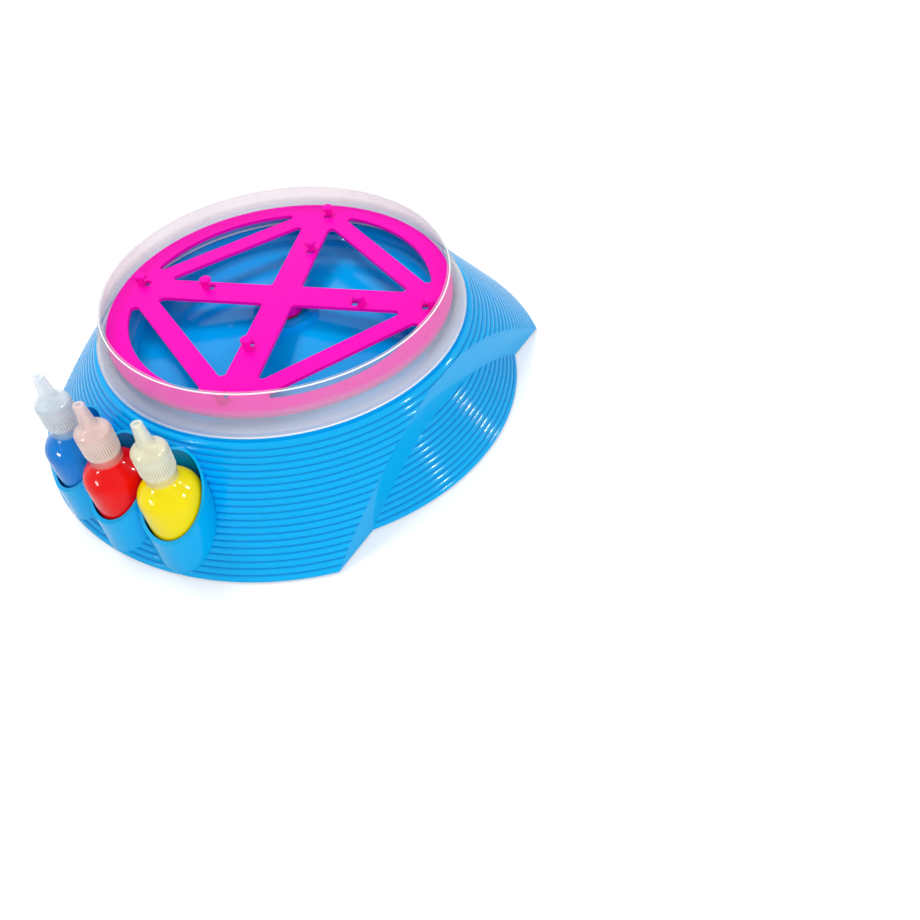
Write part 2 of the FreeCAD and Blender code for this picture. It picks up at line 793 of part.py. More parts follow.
turntable = doc.addObject("PartDesign::Body", "turntable_body")
disc_sketch = new_sketch(turntable, "disc_outline", "XY_Plane", turn_bottom)
circle_sketch(disc_sketch, dim.turn_radius)
pad(turntable, "disc", disc_sketch, dim.turn_plate)

hub_sketch = new_sketch(turntable, "hub_outline", "XY_Plane", turn_bottom - dim.hub_drop)
circle_sketch(hub_sketch, dim.hub_radius)
pad(turntable, "hub", hub_sketch, dim.hub_drop + dim.turn_plate / 2)

# the triangular openings between the cross and the bars
apex = (dim.spoke_width / 2 + dim.opening_fillet) * math.sqrt(2)
bar_side = dim.bar_inside - dim.opening_fillet
corner_offset = bar_side - apex
triangle_sketch = new_sketch(turntable, "triangle_outline", "XY_Plane", dim.turn_top)
rounded_outline(
    triangle_sketch,
    [(apex, ZERO), (bar_side, -corner_offset), (bar_side, corner_offset)],
    dim.opening_fillet,
)
triangle = pocket_through(turntable, "triangle_opening", triangle_sketch, dim.turn_plate)
around_spindle(turntable, "triangle_openings", [triangle], 4)

# the long openings between the bars and the ring
long_side = dim.bar_outside + dim.opening_fillet
inset = dim.turn_ring_inside - dim.opening_fillet
half_length = root(inset * inset - long_side * long_side)
segment_sketch = new_sketch(turntable, "segment_outline", "XY_Plane", dim.turn_top)
segment_tip = float(long_side), float(half_length)
tip_angle = math.atan2(segment_tip[1], segment_tip[0])
up = FreeCAD.Vector(0, 0, 1)
bar_line = segment_sketch.addGeometry(
    Part.LineSegment(
        FreeCAD.Vector(float(dim.bar_outside), segment_tip[1], 0),
        FreeCAD.Vector(float(dim.bar_outside), -segment_tip[1], 0),
    )
)
ring_arc = segment_sketch.addGeometry(
    Part.ArcOfCircle(
        Part.Circle(FreeCAD.Vector(0, 0, 0), up, float(dim.turn_ring_inside)), -tip_angle, tip_angle
    )
)
fillet_circles = [
    Part.Circle(FreeCAD.Vector(segment_tip[0], side * segment_tip[1], 0), up, float(dim.opening_fillet))
    for side in (-1, 1)
]
lower_fillet = segment_sketch.addGeometry(
    Part.ArcOfCircle(fillet_circles[0], math.pi, 2 * math.pi - tip_angle)
)
upper_fillet = segment_sketch.addGeometry(Part.ArcOfCircle(fillet_circles[1], tip_angle, math.pi))
pin_point(segment_sketch, ring_arc, 3, ZERO, ZERO)
ring_radius = segment_sketch.addConstraint(
    Sketcher.Constraint("Radius", ring_arc, float(dim.turn_ring_inside))
)
bind(segment_sketch, f"Constraints[{ring_radius}]", dim.turn_ring_inside)
for fillet, side in ((lower_fillet, -1), (upper_fillet, 1)):
    pin_point(segment_sketch, fillet, 3, long_side, side * half_length)
for first, first_end, second, second_end in (
    (bar_line, 2, lower_fillet, 1),
    (lower_fillet, 2, ring_arc, 1),
    (ring_arc, 2, upper_fillet, 1),
    (upper_fillet, 2, bar_line, 1),
):
    segment_sketch.addConstraint(
        Sketcher.Constraint("Tangent", first, first_end, second, second_end)
    )
segment = pocket_through(turntable, "segment_opening", segment_sketch, dim.turn_plate)
around_spindle(turntable, "segment_openings", [segment], 4)

# the pegs that hold a card by its edges: post, rounded lip and the core hole under the lip
diagonal = math.sqrt(0.5)


def on_arm(along, across):
    """A point on the arm that runs at 45 degrees in the turntable's own frame."""
    return (along + across) * diagonal, (along - across) * diagonal


for ring_name, circle in (("outer", dim.peg_outer_circle), ("inner", dim.peg_inner_circle)):
    post_x, post_y = on_arm(circle, dim.peg_offset)
    lip_x, lip_y = on_arm(circle - dim.lip_reach, dim.peg_offset)
    post_sketch = new_sketch(turntable, f"{ring_name}_post_outline", "XY_Plane", dim.turn_top)
    circle_sketch(post_sketch, dim.peg_radius, post_x, post_y)
    post = pad(turntable, f"{ring_name}_post", post_sketch, dim.peg_height)
    lip_sketch = new_sketch(
        turntable,
        f"{ring_name}_lip_outline",
        "XY_Plane",
        dim.turn_top + dim.peg_height - dim.lip_height,
    )
    circle_sketch(lip_sketch, dim.lip_radius, lip_x, lip_y)
    lip = pad(turntable, f"{ring_name}_lip", lip_sketch, dim.lip_height)
    around_spindle(turntable, f"{ring_name}_pegs", [post, lip], 4)
    hole_sketch = new_sketch(turntable, f"{ring_name}_core_outline", "XY_Plane", dim.turn_top)
    near = circle - dim.peg_radius - dim.core_hole_length - 0.2
    far = circle - dim.peg_radius - 0.2
    half = dim.core_hole_width / 2
    closed_profile(
        hole_sketch,
        [
            on_arm(near, dim.peg_offset + half),
            on_arm(far, dim.peg_offset + half),
            on_arm(far, dim.peg_offset - half),
            on_arm(near, dim.peg_offset - half),
        ],
    )
    core = pocket_through(turntable, f"{ring_name}_core", hole_sketch, dim.turn_plate)
    around_spindle(turntable, f"{ring_name}_core_holes", [core], 4)

# the double-D socket in the hub
socket_bottom = turn_bottom - dim.hub_drop
socket_sketch = new_sketch(turntable, "socket_outline", "XY_Plane", socket_bottom)


def double_d(sketch, radius, flat):
    """A circle with two flats, facing +Y and -Y."""
    half_flat = root(radius * radius - flat * flat)
    angle = math.atan2(float(flat), float(half_flat))
    circle = Part.Circle(FreeCAD.Vector(0, 0, 0), FreeCAD.Vector(0, 0, 1), float(radius))
    right = sketch.addGeometry(Part.ArcOfCircle(circle, -angle, angle))
    left = sketch.addGeometry(Part.ArcOfCircle(circle, math.pi - angle, math.pi + angle))
    top = sketch.addGeometry(
        Part.LineSegment(
            FreeCAD.Vector(float(half_flat), float(flat), 0),
            FreeCAD.Vector(-float(half_flat), float(flat), 0),
        )
    )
    bottom = sketch.addGeometry(
        Part.LineSegment(
            FreeCAD.Vector(-float(half_flat), -float(flat), 0),
            FreeCAD.Vector(float(half_flat), -float(flat), 0),
        )
    )
    for arc in (right, left):
        pin_point(sketch, arc, 3, ZERO, ZERO)
    number = sketch.addConstraint(Sketcher.Constraint("Radius", right, float(radius)))
    bind(sketch, f"Constraints[{number}]", radius)
    for first, first_end, second, second_end in (
        (right, 2, top, 1),
        (top, 2, left, 1),
        (left, 2, bottom, 1),
        (bottom, 2, right, 1),
    ):
        sketch.addConstraint(Sketcher.Constraint("Coincident", first, first_end, second, second_end))
    sketch.addConstraint(Sketcher.Constraint("Horizontal", top))
    sketch.addConstraint(Sketcher.Constraint("Horizontal", bottom))
    for line, side in ((top, 1), (bottom, -1)):
        number = sketch.addConstraint(Sketcher.Constraint("DistanceY", line, 1, side * float(flat)))
        bind(sketch, f"Constraints[{number}]", side * flat)


double_d(socket_sketch, dim.plug_radius + dim.socket_gap, dim.plug_flat + dim.socket_gap)
socket = pocket_through(turntable, "socket", socket_sketch, dim.socket_depth, reversed_side=True)
REST_TURN = (UP, dim.turn_rest_angle)
move(turntable, turn=REST_TURN)
piece(turntable, "turntable")

# ---- Spindle plug and motor shaft ----------------------------------------------------------

plug_top = socket_bottom + dim.socket_depth - dim.socket_gap
grip_top = dim.plug_bottom + dim.shaft_grip
plug = doc.addObject("PartDesign::Body", "plug_body")
plug_sketch = new_sketch(plug, "plug_outline", "XY_Plane", dim.plug_bottom)
double_d(plug_sketch, dim.plug_radius, dim.plug_flat)
pad(plug, "plug_pad", plug_sketch, plug_top - dim.plug_bottom)
slinger_sketch = new_sketch(plug, "slinger_outline", "XY_Plane", socket_bottom - dim.slinger_height)
circle_sketch(slinger_sketch, dim.slinger_radius)
pad(plug, "slinger", slinger_sketch, dim.slinger_height)
bore_sketch = new_sketch(plug, "bore_outline", "XY_Plane", dim.plug_bottom)
circle_sketch(bore_sketch, dim.shaft_radius)
pocket_through(plug, "shaft_bore", bore_sketch, dim.shaft_grip, reversed_side=True)
move(plug, turn=REST_TURN)
piece(plug, "spindle_plug")

piece(
    cylinder("shaft", dim.shaft_radius, grip_top - dim.shaft_bottom, z=dim.shaft_bottom),
    "motor_shaft",
)

# ---- Motor and its bracket -----------------------------------------------------------------

inner_can = dim.motor_radius - dim.can_wall
shaft_hole = dim.shaft_radius + dim.bearing_gap
MOTOR_SCREWS = [(ZERO, dim.motor_screw_offset), (ZERO, -dim.motor_screw_offset)]
can_body = turned(
    "can_body",
    [
        (inner_can, dim.motor_bottom),
        (dim.motor_radius, dim.motor_bottom),
        (dim.motor_radius, dim.motor_top),
        (dim.bearing_radius, dim.motor_top),
        (dim.bearing_radius, dim.motor_top - dim.can_wall),
        (inner_can, dim.motor_top - dim.can_wall),
    ],
)
can_holes = [
    cylinder(
        f"can_hole_{index}", dim.screw_radius, dim.can_wall * 3, x, y, dim.motor_top - dim.can_wall * 2
    )
    for index, (x, y) in enumerate(MOTOR_SCREWS)
]
piece(cut("can_cut", can_body, can_holes), "motor_can")
piece(
    turned(
        "bearing_body",
        [
            (shaft_hole, dim.motor_top - dim.can_wall),
            (dim.bearing_radius, dim.motor_top - dim.can_wall),
            (dim.bearing_radius, dim.motor_top + dim.bearing_height),
            (shaft_hole, dim.motor_top + dim.bearing_height),
        ],
    ),
    "motor_bearing",
)
end_cap_bottom = dim.motor_bottom - dim.end_cap_height
piece(
    turned(
        "end_cap_body",
        [
            (ZERO, end_cap_bottom),
            (dim.motor_radius, end_cap_bottom),
            (dim.motor_radius, dim.motor_bottom),
            (shaft_hole, dim.motor_bottom),
            (shaft_hole, dim.shaft_bottom - 0.3),
            (ZERO, dim.shaft_bottom - 0.3),
        ],
    ),
    "motor_end_cap",
)
armature_gap = 1.0
piece(
    turned(
        "armature_body",
        [
            (dim.shaft_radius, dim.motor_bottom + 2),
            (inner_can - 3 * armature_gap, dim.motor_bottom + 2),
            (inner_can - 3 * armature_gap, dim.motor_top - dim.can_wall - 3),
            (dim.shaft_radius, dim.motor_top - dim.can_wall - 3),
        ],
    ),
    "motor_armature",
)
piece(
    turned(
        "magnet_body",
        [
            (inner_can - 2 * armature_gap, dim.motor_bottom + 2),
            (inner_can, dim.motor_bottom + 2),
            (inner_can, dim.motor_top - dim.can_wall - 3),
            (inner_can - 2 * armature_gap, dim.motor_top - dim.can_wall - 3),
        ],
    ),
    "motor_magnet",
)

bracket_reach = dim.bowl_post_offset + dim.bowl_post_radius + 1
bracket_block = block(
    "bracket_block",
    (-bracket_reach, -dim.bracket_width / 2, dim.motor_top),
    (bracket_reach, dim.bracket_width / 2, bracket_top),
)
bracket_holes = [
    cylinder(
        "bracket_bearing_hole",
        dim.bearing_radius + dim.bearing_gap,
        dim.bracket_plate * 3,
        z=dim.motor_top - dim.bracket_plate,
    )
]
BRACKET_SCREWS = [(dim.bowl_post_offset, ZERO), (-dim.bowl_post_offset, ZERO)]
for index, (x, y) in enumerate(MOTOR_SCREWS + BRACKET_SCREWS):
    bracket_holes.append(
        cylinder(
            f"bracket_hole_{index}",
            dim.screw_radius + dim.seam_gap,
            dim.bracket_plate * 3,
            x,
            y,
            dim.motor_top - dim.bracket_plate,
        )
    )
piece(cut("bracket_cut", bracket_block, bracket_holes), "motor_bracket")


def screw(name, x, y, seat, length, downwards):
    """A pan-head screw whose head rests on the seat; the shank runs up, or down where downwards."""
    head_low = seat if downwards else seat - dim.screw_head
    shank_low = seat - length if downwards else seat
    head = cylinder(name + "_head", dim.screw_head_radius, dim.screw_head, x, y, head_low)
    shank = cylinder(name + "_shank", dim.screw_radius, length, x, y, shank_low)
    return fused(name, [head, shank])


def screw_group(label, places, seat, length, downwards=False):
    screws = [
        screw(f"{label}_{index}", x, y, seat, length, downwards)
        for index, (x, y) in enumerate(places)
    ]
    group = doc.addObject("Part::Compound", label + "_group")
    group.Links = screws
    return piece(group, label)


screw_group("bracket_screws", BRACKET_SCREWS, dim.motor_top, dim.bracket_plate + 5)
screw_group(
    "motor_screws", MOTOR_SCREWS, bracket_top, dim.bracket_plate + dim.can_wall, downwards=True
)

# ---- Bottom cover, battery box and feet ----------------------------------------------------



def cell_y(index):
    return dim.box_start + dim.cell_pitch * (index + 0.5)


box_end = dim.box_start + dim.cell_pitch * dim.cell_count
box_half = dim.box_length / 2
door_top = dim.cover_bottom + dim.door_plate
cell_axis = door_top + dim.seam_gap * 2 + dim.cell_radius
box_ceiling = cell_axis + dim.cell_radius + dim.box_headroom

cover_disc = cylinder(
    "cover_disc",
    dim.wing_radius + wing_slope * dim.base_gap - dim.housing_run - dim.cover_gap
    - wing_slope * cover_top,
    dim.cover_plate,
    z=dim.cover_bottom,
)
cover_slab = flat_slab("cover_slab", dim.flat_offset - dim.housing_wall - dim.cover_gap)
tier_disc = cylinder(
    "tier_disc",
    dim.tier_radius + tier_slope * dim.base_gap - dim.housing_run - dim.cover_gap
    - tier_slope * cover_top,
    dim.cover_plate,
    z=dim.cover_bottom,
)
cover_sheet = fused(
    "cover_sheet", [shared("cover_wings", [cover_disc, cover_slab]), tier_disc]
)
box_outside = block(
    "box_outside",
    (-box_half - dim.box_wall, dim.box_start - dim.box_wall, dim.cover_bottom),
    (box_half + dim.box_wall, box_end + dim.box_wall, box_ceiling + dim.box_wall),
)
box_inside = block(
    "box_inside",
    (-box_half, dim.box_start, ZERO),
    (box_half, box_end, box_ceiling),
)
door_front = dim.box_start - dim.door_lap
door_rear = box_end + dim.door_lap
door_axis_height = dim.cover_bottom + dim.door_plate / 2
door_recess = block(
    "door_recess",
    (-box_half, door_front - dim.door_gap, ZERO),
    (box_half, door_rear + dim.door_gap, door_top + dim.seam_gap),
)
hinge_half = box_half - dim.door_gap + dim.door_pin_length
hinge_axis_y = door_rear - dim.door_plate / 2
hinge_bore = cylinder(
    "hinge_bore",
    dim.door_pin_radius + dim.seam_gap,
    2 * (hinge_half + dim.seam_gap),
    x=-(hinge_half + dim.seam_gap),
    y=hinge_axis_y,
    z=door_axis_height,
    turn=ALONG_X,
)
door_screw_y = door_front - dim.door_ear_reach
ear_front = door_screw_y - dim.door_ear_round
door_ear = block(
    "door_ear_recess",
    (-dim.door_ear_half, ear_front, ZERO),
    (dim.door_ear_half, dim.box_start, door_top + dim.seam_gap),
)
ear_roof = block(
    "ear_roof",
    (-dim.door_ear_half - dim.door_ear_wall, ear_front - dim.door_ear_wall, dim.cover_bottom),
    (dim.door_ear_half + dim.door_ear_wall, dim.box_start, door_top + dim.cover_plate * 2),
)
ear_hole = cylinder(
    "ear_hole", dim.screw_radius + 3 * dim.seam_gap, Size(6), y=door_screw_y, z=door_top - 1
)

switch_low = dim.button_height - dim.switch_tall / 2
switch_face = dim.flat_offset - dim.housing_wall - dim.button_play - dim.button_flange
switch_face = switch_face - dim.button_stem - dim.button_travel - dim.seam_gap
tower = block(
    "switch_tower",
    (-(switch_face - 1), -dim.switch_width / 2 + 1, dim.cover_bottom),
    (-(switch_face - dim.switch_length + 1), dim.switch_width / 2 - 1, switch_low),
)

FEET = [
    (sign_x * dim.foot_offset, sign_y * dim.foot_offset) for sign_x in (1, -1) for sign_y in (1, -1)
]
foot_height = dim.cover_bottom + dim.foot_recess
foot_recesses = [
    cylinder(f"foot_recess_{index}", dim.foot_radius + dim.seam_gap, foot_height, x, y)
    for index, (x, y) in enumerate(FEET)
]
cover_holes = [
    cylinder(
        f"cover_hole_{index}", dim.screw_radius + dim.seam_gap, dim.cover_plate * 3, x, y, -ONE
    )
    for index, (x, y) in enumerate(POST_PLACES)
]
cup_openings = []
for colour, step in CUPS:
    opening = cylinder(
        f"cup_opening_{colour}", dim.cup_foot_radius + dim.cover_gap, dim.cover_plate * 6
    )
    cup_openings.append(place(opening, cup_frame(step), placement_text(z=-dim.cover_plate * 3)))
cup_openings.append(
    block(
        "cup_front_opening",
        (-outer_cup_x, -dim.wing_radius, -dim.cover_plate * 3),
        (outer_cup_x, -outer_cup_y, dim.cover_plate * 3),
    )
)
lead_holes = [
    cylinder(
        f"lead_hole_{index}",
        dim.lead_radius + dim.seam_gap,
        dim.box_wall * 2,
        -box_half,
        cell_y(index),
        dim.motor_bottom - dim.end_cap_height + 2,
        ALONG_MINUS_X,
    )
    for index in (0, int(float(dim.cell_count)) - 1)
]
cover_solid = fused("cover_solid", [cover_sheet, box_outside, ear_roof, tower])
piece(
    cut(
        "cover_cut",
        cover_solid,
        [box_inside, door_recess, hinge_bore, door_ear, ear_hole]
        + foot_recesses
        + cover_holes
        + cup_openings
        + lead_holes,
    ),
    "bottom_cover",
)
for index, (x, y) in enumerate(FEET):
    piece(cylinder(f"foot_{index}", dim.foot_radius, foot_height, x, y), f"rubber_foot_{index + 1}")

screw_group("cover_screws", POST_PLACES, dim.cover_bottom, dim.cover_screw_length - 2)

# ---- Battery door --------------------------------------------------------------------------

door_half = box_half - dim.door_gap
door_panel = block(
    "door_panel",
    (-door_half, door_front, dim.cover_bottom),
    (door_half, hinge_axis_y, door_top),
)
door_barrel = cylinder(
    "door_barrel",
    dim.door_plate / 2,
    2 * door_half,
    x=-door_half,
    y=hinge_axis_y,
    z=door_axis_height,
    turn=ALONG_X,
)
door_pins = cylinder(
    "door_pins",
    dim.door_pin_radius,
    2 * hinge_half,
    x=-hinge_half,
    y=hinge_axis_y,
    z=door_axis_height,
    turn=ALONG_X,
)
door_tab = block(
    "door_tab",
    (-dim.door_ear_half + dim.door_gap, ear_front + dim.door_gap, dim.cover_bottom),
    (dim.door_ear_half - dim.door_gap, door_front + 1, door_top),
)
door_solid = fused("door_solid", [door_panel, door_barrel, door_pins, door_tab])
door_screw_hole = cylinder(
    "door_screw_hole", dim.screw_radius + dim.seam_gap, Size(6), y=door_screw_y
)
piece(cut("door_cut", door_solid, [door_screw_hole]), "battery_door")
screw_group(
    "door_screw",
    [(ZERO, door_screw_y)],
    dim.cover_bottom,
    dim.door_plate + 3.0,
)

# ---- Cells and contacts --------------------------------------------------------------------

plate_face = box_half - dim.contact_plate


for index in range(int(float(dim.cell_count))):
    sign = 1 if index % 2 == 0 else -1
    cell = turned(
        f"cell_body_{index}",
        [
            (ZERO, ZERO),
            (dim.cell_radius, ZERO),
            (dim.cell_radius, dim.cell_length),
            (dim.cell_cap_radius, dim.cell_length),
            (dim.cell_cap_radius, dim.cell_length + dim.cell_cap),
            (ZERO, dim.cell_length + dim.cell_cap),
        ],
    )
    start = sign * (plate_face - dim.cell_length - dim.cell_cap)
    move(cell, start, cell_y(index), cell_axis, ALONG_X if sign > 0 else ALONG_MINUS_X)
    piece(cell, f"battery_{index + 1}")

plates = []
leaves = []
for index in range(int(float(dim.cell_count))):
    sign = 1 if index % 2 == 0 else -1
    half_width = dim.contact_width / 2
    y = cell_y(index)
    low_x, high_x = sorted((sign * plate_face, sign * box_half), key=float)
    # each strip but the last runs on to the next cell's leaf spring
    last = index == int(float(dim.cell_count)) - 1
    reach = half_width if last else dim.cell_pitch - half_width
    plates.append(
        block(
            f"plate_{index}",
            (low_x, y - half_width, cell_axis - half_width),
            (high_x, y + reach, cell_axis + half_width),
        )
    )
    cell_end = plate_face - dim.cell_length - dim.cell_cap
    spring_face = plate_face + cell_end
    leaf = doc.addObject("PartDesign::Body", f"leaf_{index}")
    leaf_sketch = new_sketch(leaf, f"leaf_outline_{index}", "XZ_Plane")
    sheet_metal = dim.contact_plate
    fold = spring_face - sheet_metal
    closed_profile(
        leaf_sketch,
        [
            (ZERO, -half_width),
            (sheet_metal, -half_width),
            (sheet_metal, half_width - 1.2),
            (fold - 0.1, ZERO),
            (sheet_metal * 4, -half_width + 1.4),
            (sheet_metal * 5, -half_width + 1.1),
            (fold + sheet_metal, ZERO),
            (sheet_metal, half_width),
            (ZERO, half_width),
        ],
    )
    leaf_pad = pad(leaf, f"leaf_pad_{index}", leaf_sketch, dim.contact_width / 2)
    leaf_pad.Midplane = True
    move(leaf, -sign * box_half, y, cell_axis, (UP, 0 if sign > 0 else 180))
    leaves.append(leaf)
plate_group = doc.addObject("Part::Compound", "plate_group")
plate_group.Links = plates
piece(plate_group, "battery_contact_plates")
leaf_group = doc.addObject("Part::Compound", "leaf_group")
leaf_group.Links = leaves
piece(leaf_group, "battery_contact_leaves")

# ---- Power button and switch ---------------------------------------------------------------

flange_face = dim.flat_offset - dim.housing_wall - dim.button_play
button_face = dim.flat_offset + dim.button_proud
# the button is turned about its own Z, which then points out of the wall, along -X
button_back = flange_face - dim.button_flange - dim.button_stem
button_body = turned(
    "button_body",
    [
        (ZERO, ZERO),
        (dim.switch_pin_radius * 2, ZERO),
        (dim.switch_pin_radius * 2, dim.button_stem),
        (dim.button_flange_radius, dim.button_stem),
        (dim.button_flange_radius, dim.button_stem + dim.button_flange),
        (dim.button_radius, dim.button_stem + dim.button_flange),
        (dim.button_radius, button_face - button_back - dim.button_bevel),
        (dim.button_radius - dim.button_bevel, button_face - button_back),
        (ZERO, button_face - button_back),
    ],
)
piece(move(button_body, -button_back, ZERO, dim.button_height, ALONG_MINUS_X), "power_button")

pin_length = button_back - switch_face + dim.switch_pin_depth
piece(
    cylinder(
        "switch_pin",
        dim.switch_pin_radius,
        pin_length,
        x=-(switch_face - dim.switch_pin_depth),
        z=dim.button_height,
        turn=ALONG_MINUS_X,
    ),
    "switch_plunger",
)
switch_block = block(
    "switch_block",
    (-switch_face, -dim.switch_width / 2, switch_low),
    (-(switch_face - dim.switch_length), dim.switch_width / 2, switch_low + dim.switch_tall),
)
switch_bore = cylinder(
    "switch_bore",
    dim.switch_pin_radius + dim.bearing_gap,
    dim.switch_pin_depth + dim.button_travel + 1,
    x=-(switch_face - dim.switch_pin_depth - dim.button_travel - 0.5),
    z=dim.button_height,
    turn=ALONG_MINUS_X,
)
piece(cut("switch_cut", switch_block, [switch_bore]), "push_switch")

# ---- Leads ---------------------------------------------------------------------------------


def lead(label, points):
    """An insulated lead along the axes from point to point, with a wide round bend at each turn."""
    points = [[as_size(value) for value in point] for point in points]
    ways = []
    runs = []
    for start, end in zip(points, points[1:]):
        gaps = [b - a for a, b in zip(start, end)]
        axis = max(range(3), key=lambda number: abs(float(gaps[number])))
        sign = 1 if float(gaps[axis]) > 0 else -1
        ways.append([sign if number == axis else 0 for number in range(3)])
        runs.append(gaps[axis] * sign)
    bends = [dim.lead_bend * min(pair, key=float) for pair in zip(runs, runs[1:])]
    members = []
    length = 0.0
    for index, start in enumerate(points[:-1]):
        first = bends[index - 1] if index > 0 else ZERO
        last = bends[index] if index < len(bends) else ZERO
        origin = [value + first * way for value, way in zip(start, ways[index])]
        run = runs[index] - first - last
        length += float(run)
        turn = axis_angle(FreeCAD.Rotation(FreeCAD.Vector(UP), FreeCAD.Vector(ways[index])))
        members.append(cylinder(f"{label}_run_{index}", dim.lead_radius, run, *origin, turn))
    for index, radius in enumerate(bends):
        before, after = ways[index], ways[index + 1]
        centre = [
            value + radius * (b - a) for value, a, b in zip(points[index + 1], before, after)
        ]
        incoming = FreeCAD.Vector(before)
        outgoing = FreeCAD.Vector(after)
        bend = doc.addObject("Part::Torus", f"{label}_bend_{index}")
        bind(bend, "Radius1", radius)
        bind(bend, "Radius2", dim.lead_radius)
        bend.Angle3 = 90.0
        turn = FreeCAD.Rotation(outgoing * -1, incoming, incoming.cross(outgoing), "ZXY")
        members.append(move(bend, *centre, axis_angle(turn)))
        length += float(radius) * math.pi / 2
    lead_lengths[label] = length
    print(label, "bend radii", [round(float(radius), 1) for radius in bends])
    return piece(fused(f"{label}_joined", members), label)


def axis_angle(rotation):
    return tuple(rotation.Axis), math.degrees(rotation.Angle)


lead_lengths = {}
switch_back = switch_face - dim.switch_length
lead_level = end_cap_bottom + 2
lead_y = dim.lead_offset
lead_near = lead_y - dim.lead_radius
end_cap_edge = root(dim.motor_radius * dim.motor_radius - lead_near * lead_near)
cell_last = cell_y(int(float(dim.cell_count)) - 1)
cell_first = cell_y(0)
lead(
    "lead_battery_switch",
    [
        (-switch_back, lead_y, dim.button_height - 3),
        (-dim.lead_column, lead_y, dim.button_height - 3),
        (-dim.lead_column, lead_y, lead_level),
        (-dim.lead_column, cell_last, lead_level),
        (-box_half, cell_last, lead_level),
    ],
)
lead(
    "lead_switch_motor",
    [
        (-switch_back, -lead_y, dim.button_height),
        (-dim.lead_column, -lead_y, dim.button_height),
        (-dim.lead_column, -lead_y, lead_level),
        (-end_cap_edge, -lead_y, lead_level),
    ],
)
lead(
    "lead_battery_motor",
    [
        (-box_half, cell_first, lead_level),
        (-box_half - dim.lead_side_run, cell_first, lead_level),
        (-box_half - dim.lead_side_run, lead_y, lead_level),
        (-end_cap_edge, lead_y, lead_level),
    ],
)

# ---- Paint bottles -------------------------------------------------------------------------

inner_neck = dim.bottle_neck_radius - dim.bottle_wall
inner_wall = dim.bottle_radius - dim.bottle_wall
paint_wall = inner_wall - dim.paint_gap
foot_round = dim.bottle_radius - dim.bottle_foot_radius
skirt_top = dim.cap_start + dim.cap_skirt
nozzle_root = skirt_top + dim.cap_shoulder
nozzle_top = nozzle_root + dim.nozzle_length
cap_inside = dim.bottle_neck_radius + dim.cap_gap
cap_top_radius = dim.cap_radius + dim.cap_flare
outer_bend = dim.bottle_shoulder + dim.shoulder_rise
inner_bend = dim.bottle_shoulder + dim.shoulder_inner_rise

for colour, step in CUPS:
    frame = cup_frame(step)
    bottle = turned(
        f"bottle_body_{colour}",
        [
            (ZERO, dim.seam_gap),
            (dim.bottle_foot_radius, dim.seam_gap),
            (dim.bottle_radius, dim.seam_gap + foot_round),
            (dim.bottle_radius, dim.bottle_shoulder),
            (dim.shoulder_radius, outer_bend),
            (dim.shoulder_inner_radius, inner_bend),
            (dim.bottle_neck_radius, dim.bottle_neck_start),
            (dim.bottle_neck_radius, dim.bottle_neck_top),
            (inner_neck, dim.bottle_neck_top),
            (inner_neck, dim.bottle_neck_start),
            (dim.shoulder_inner_radius - dim.bottle_wall, inner_bend - dim.bottle_wall / 2),
            (dim.shoulder_radius - dim.bottle_wall, outer_bend - dim.bottle_wall / 2),
            (inner_wall, dim.bottle_shoulder),
            (inner_wall, dim.bottle_wall + foot_round),
            (inner_wall - foot_round, dim.bottle_wall + dim.seam_gap),
            (ZERO, dim.bottle_wall + dim.seam_gap),
        ],
    )
    piece(place(bottle, frame), f"bottle_{colour}")
    low = dim.bottle_wall + dim.seam_gap + dim.paint_gap
    shoulder_slope = (dim.shoulder_radius - dim.shoulder_inner_radius) / (inner_bend - outer_bend)
    paint_bend = dim.shoulder_radius - dim.bottle_wall - 2 * dim.paint_gap
    bend_height = outer_bend - dim.bottle_wall / 2
    level_radius = paint_bend - shoulder_slope * (dim.paint_level - bend_height)
    paint = turned(
        f"paint_body_{colour}",
        [
            (ZERO, low),
            (paint_wall - foot_round, low),
            (paint_wall, low + foot_round),
            (paint_wall, dim.bottle_shoulder),
            (paint_bend, bend_height),
            (level_radius, dim.paint_level),
            (ZERO, dim.paint_level),
        ],
    )
    piece(place(paint, frame), f"paint_{colour}")
    cap = turned(
        f"cap_body_{colour}",
        [
            (cap_inside, dim.cap_start),
            (dim.cap_radius, dim.cap_start),
            (cap_top_radius, skirt_top),
            (cap_top_radius - dim.cap_bevel, skirt_top + dim.cap_shoulder * 0.6),
            (dim.nozzle_radius, nozzle_root),
            (dim.nozzle_tip_radius, nozzle_top - 0.8),
            (dim.nozzle_tip_radius - 0.7, nozzle_top),
            (ZERO, nozzle_top),
            (ZERO, nozzle_top - 3.0),
            (dim.nozzle_bore, nozzle_top - 3.5),
            (dim.nozzle_bore, dim.bottle_neck_top + dim.cap_gap),
            (cap_inside, dim.bottle_neck_top + dim.cap_gap),
        ],
    )
    piece(place(cap, frame), f"cap_{colour}")


# ---- Check and write -----------------------------------------------------------------------


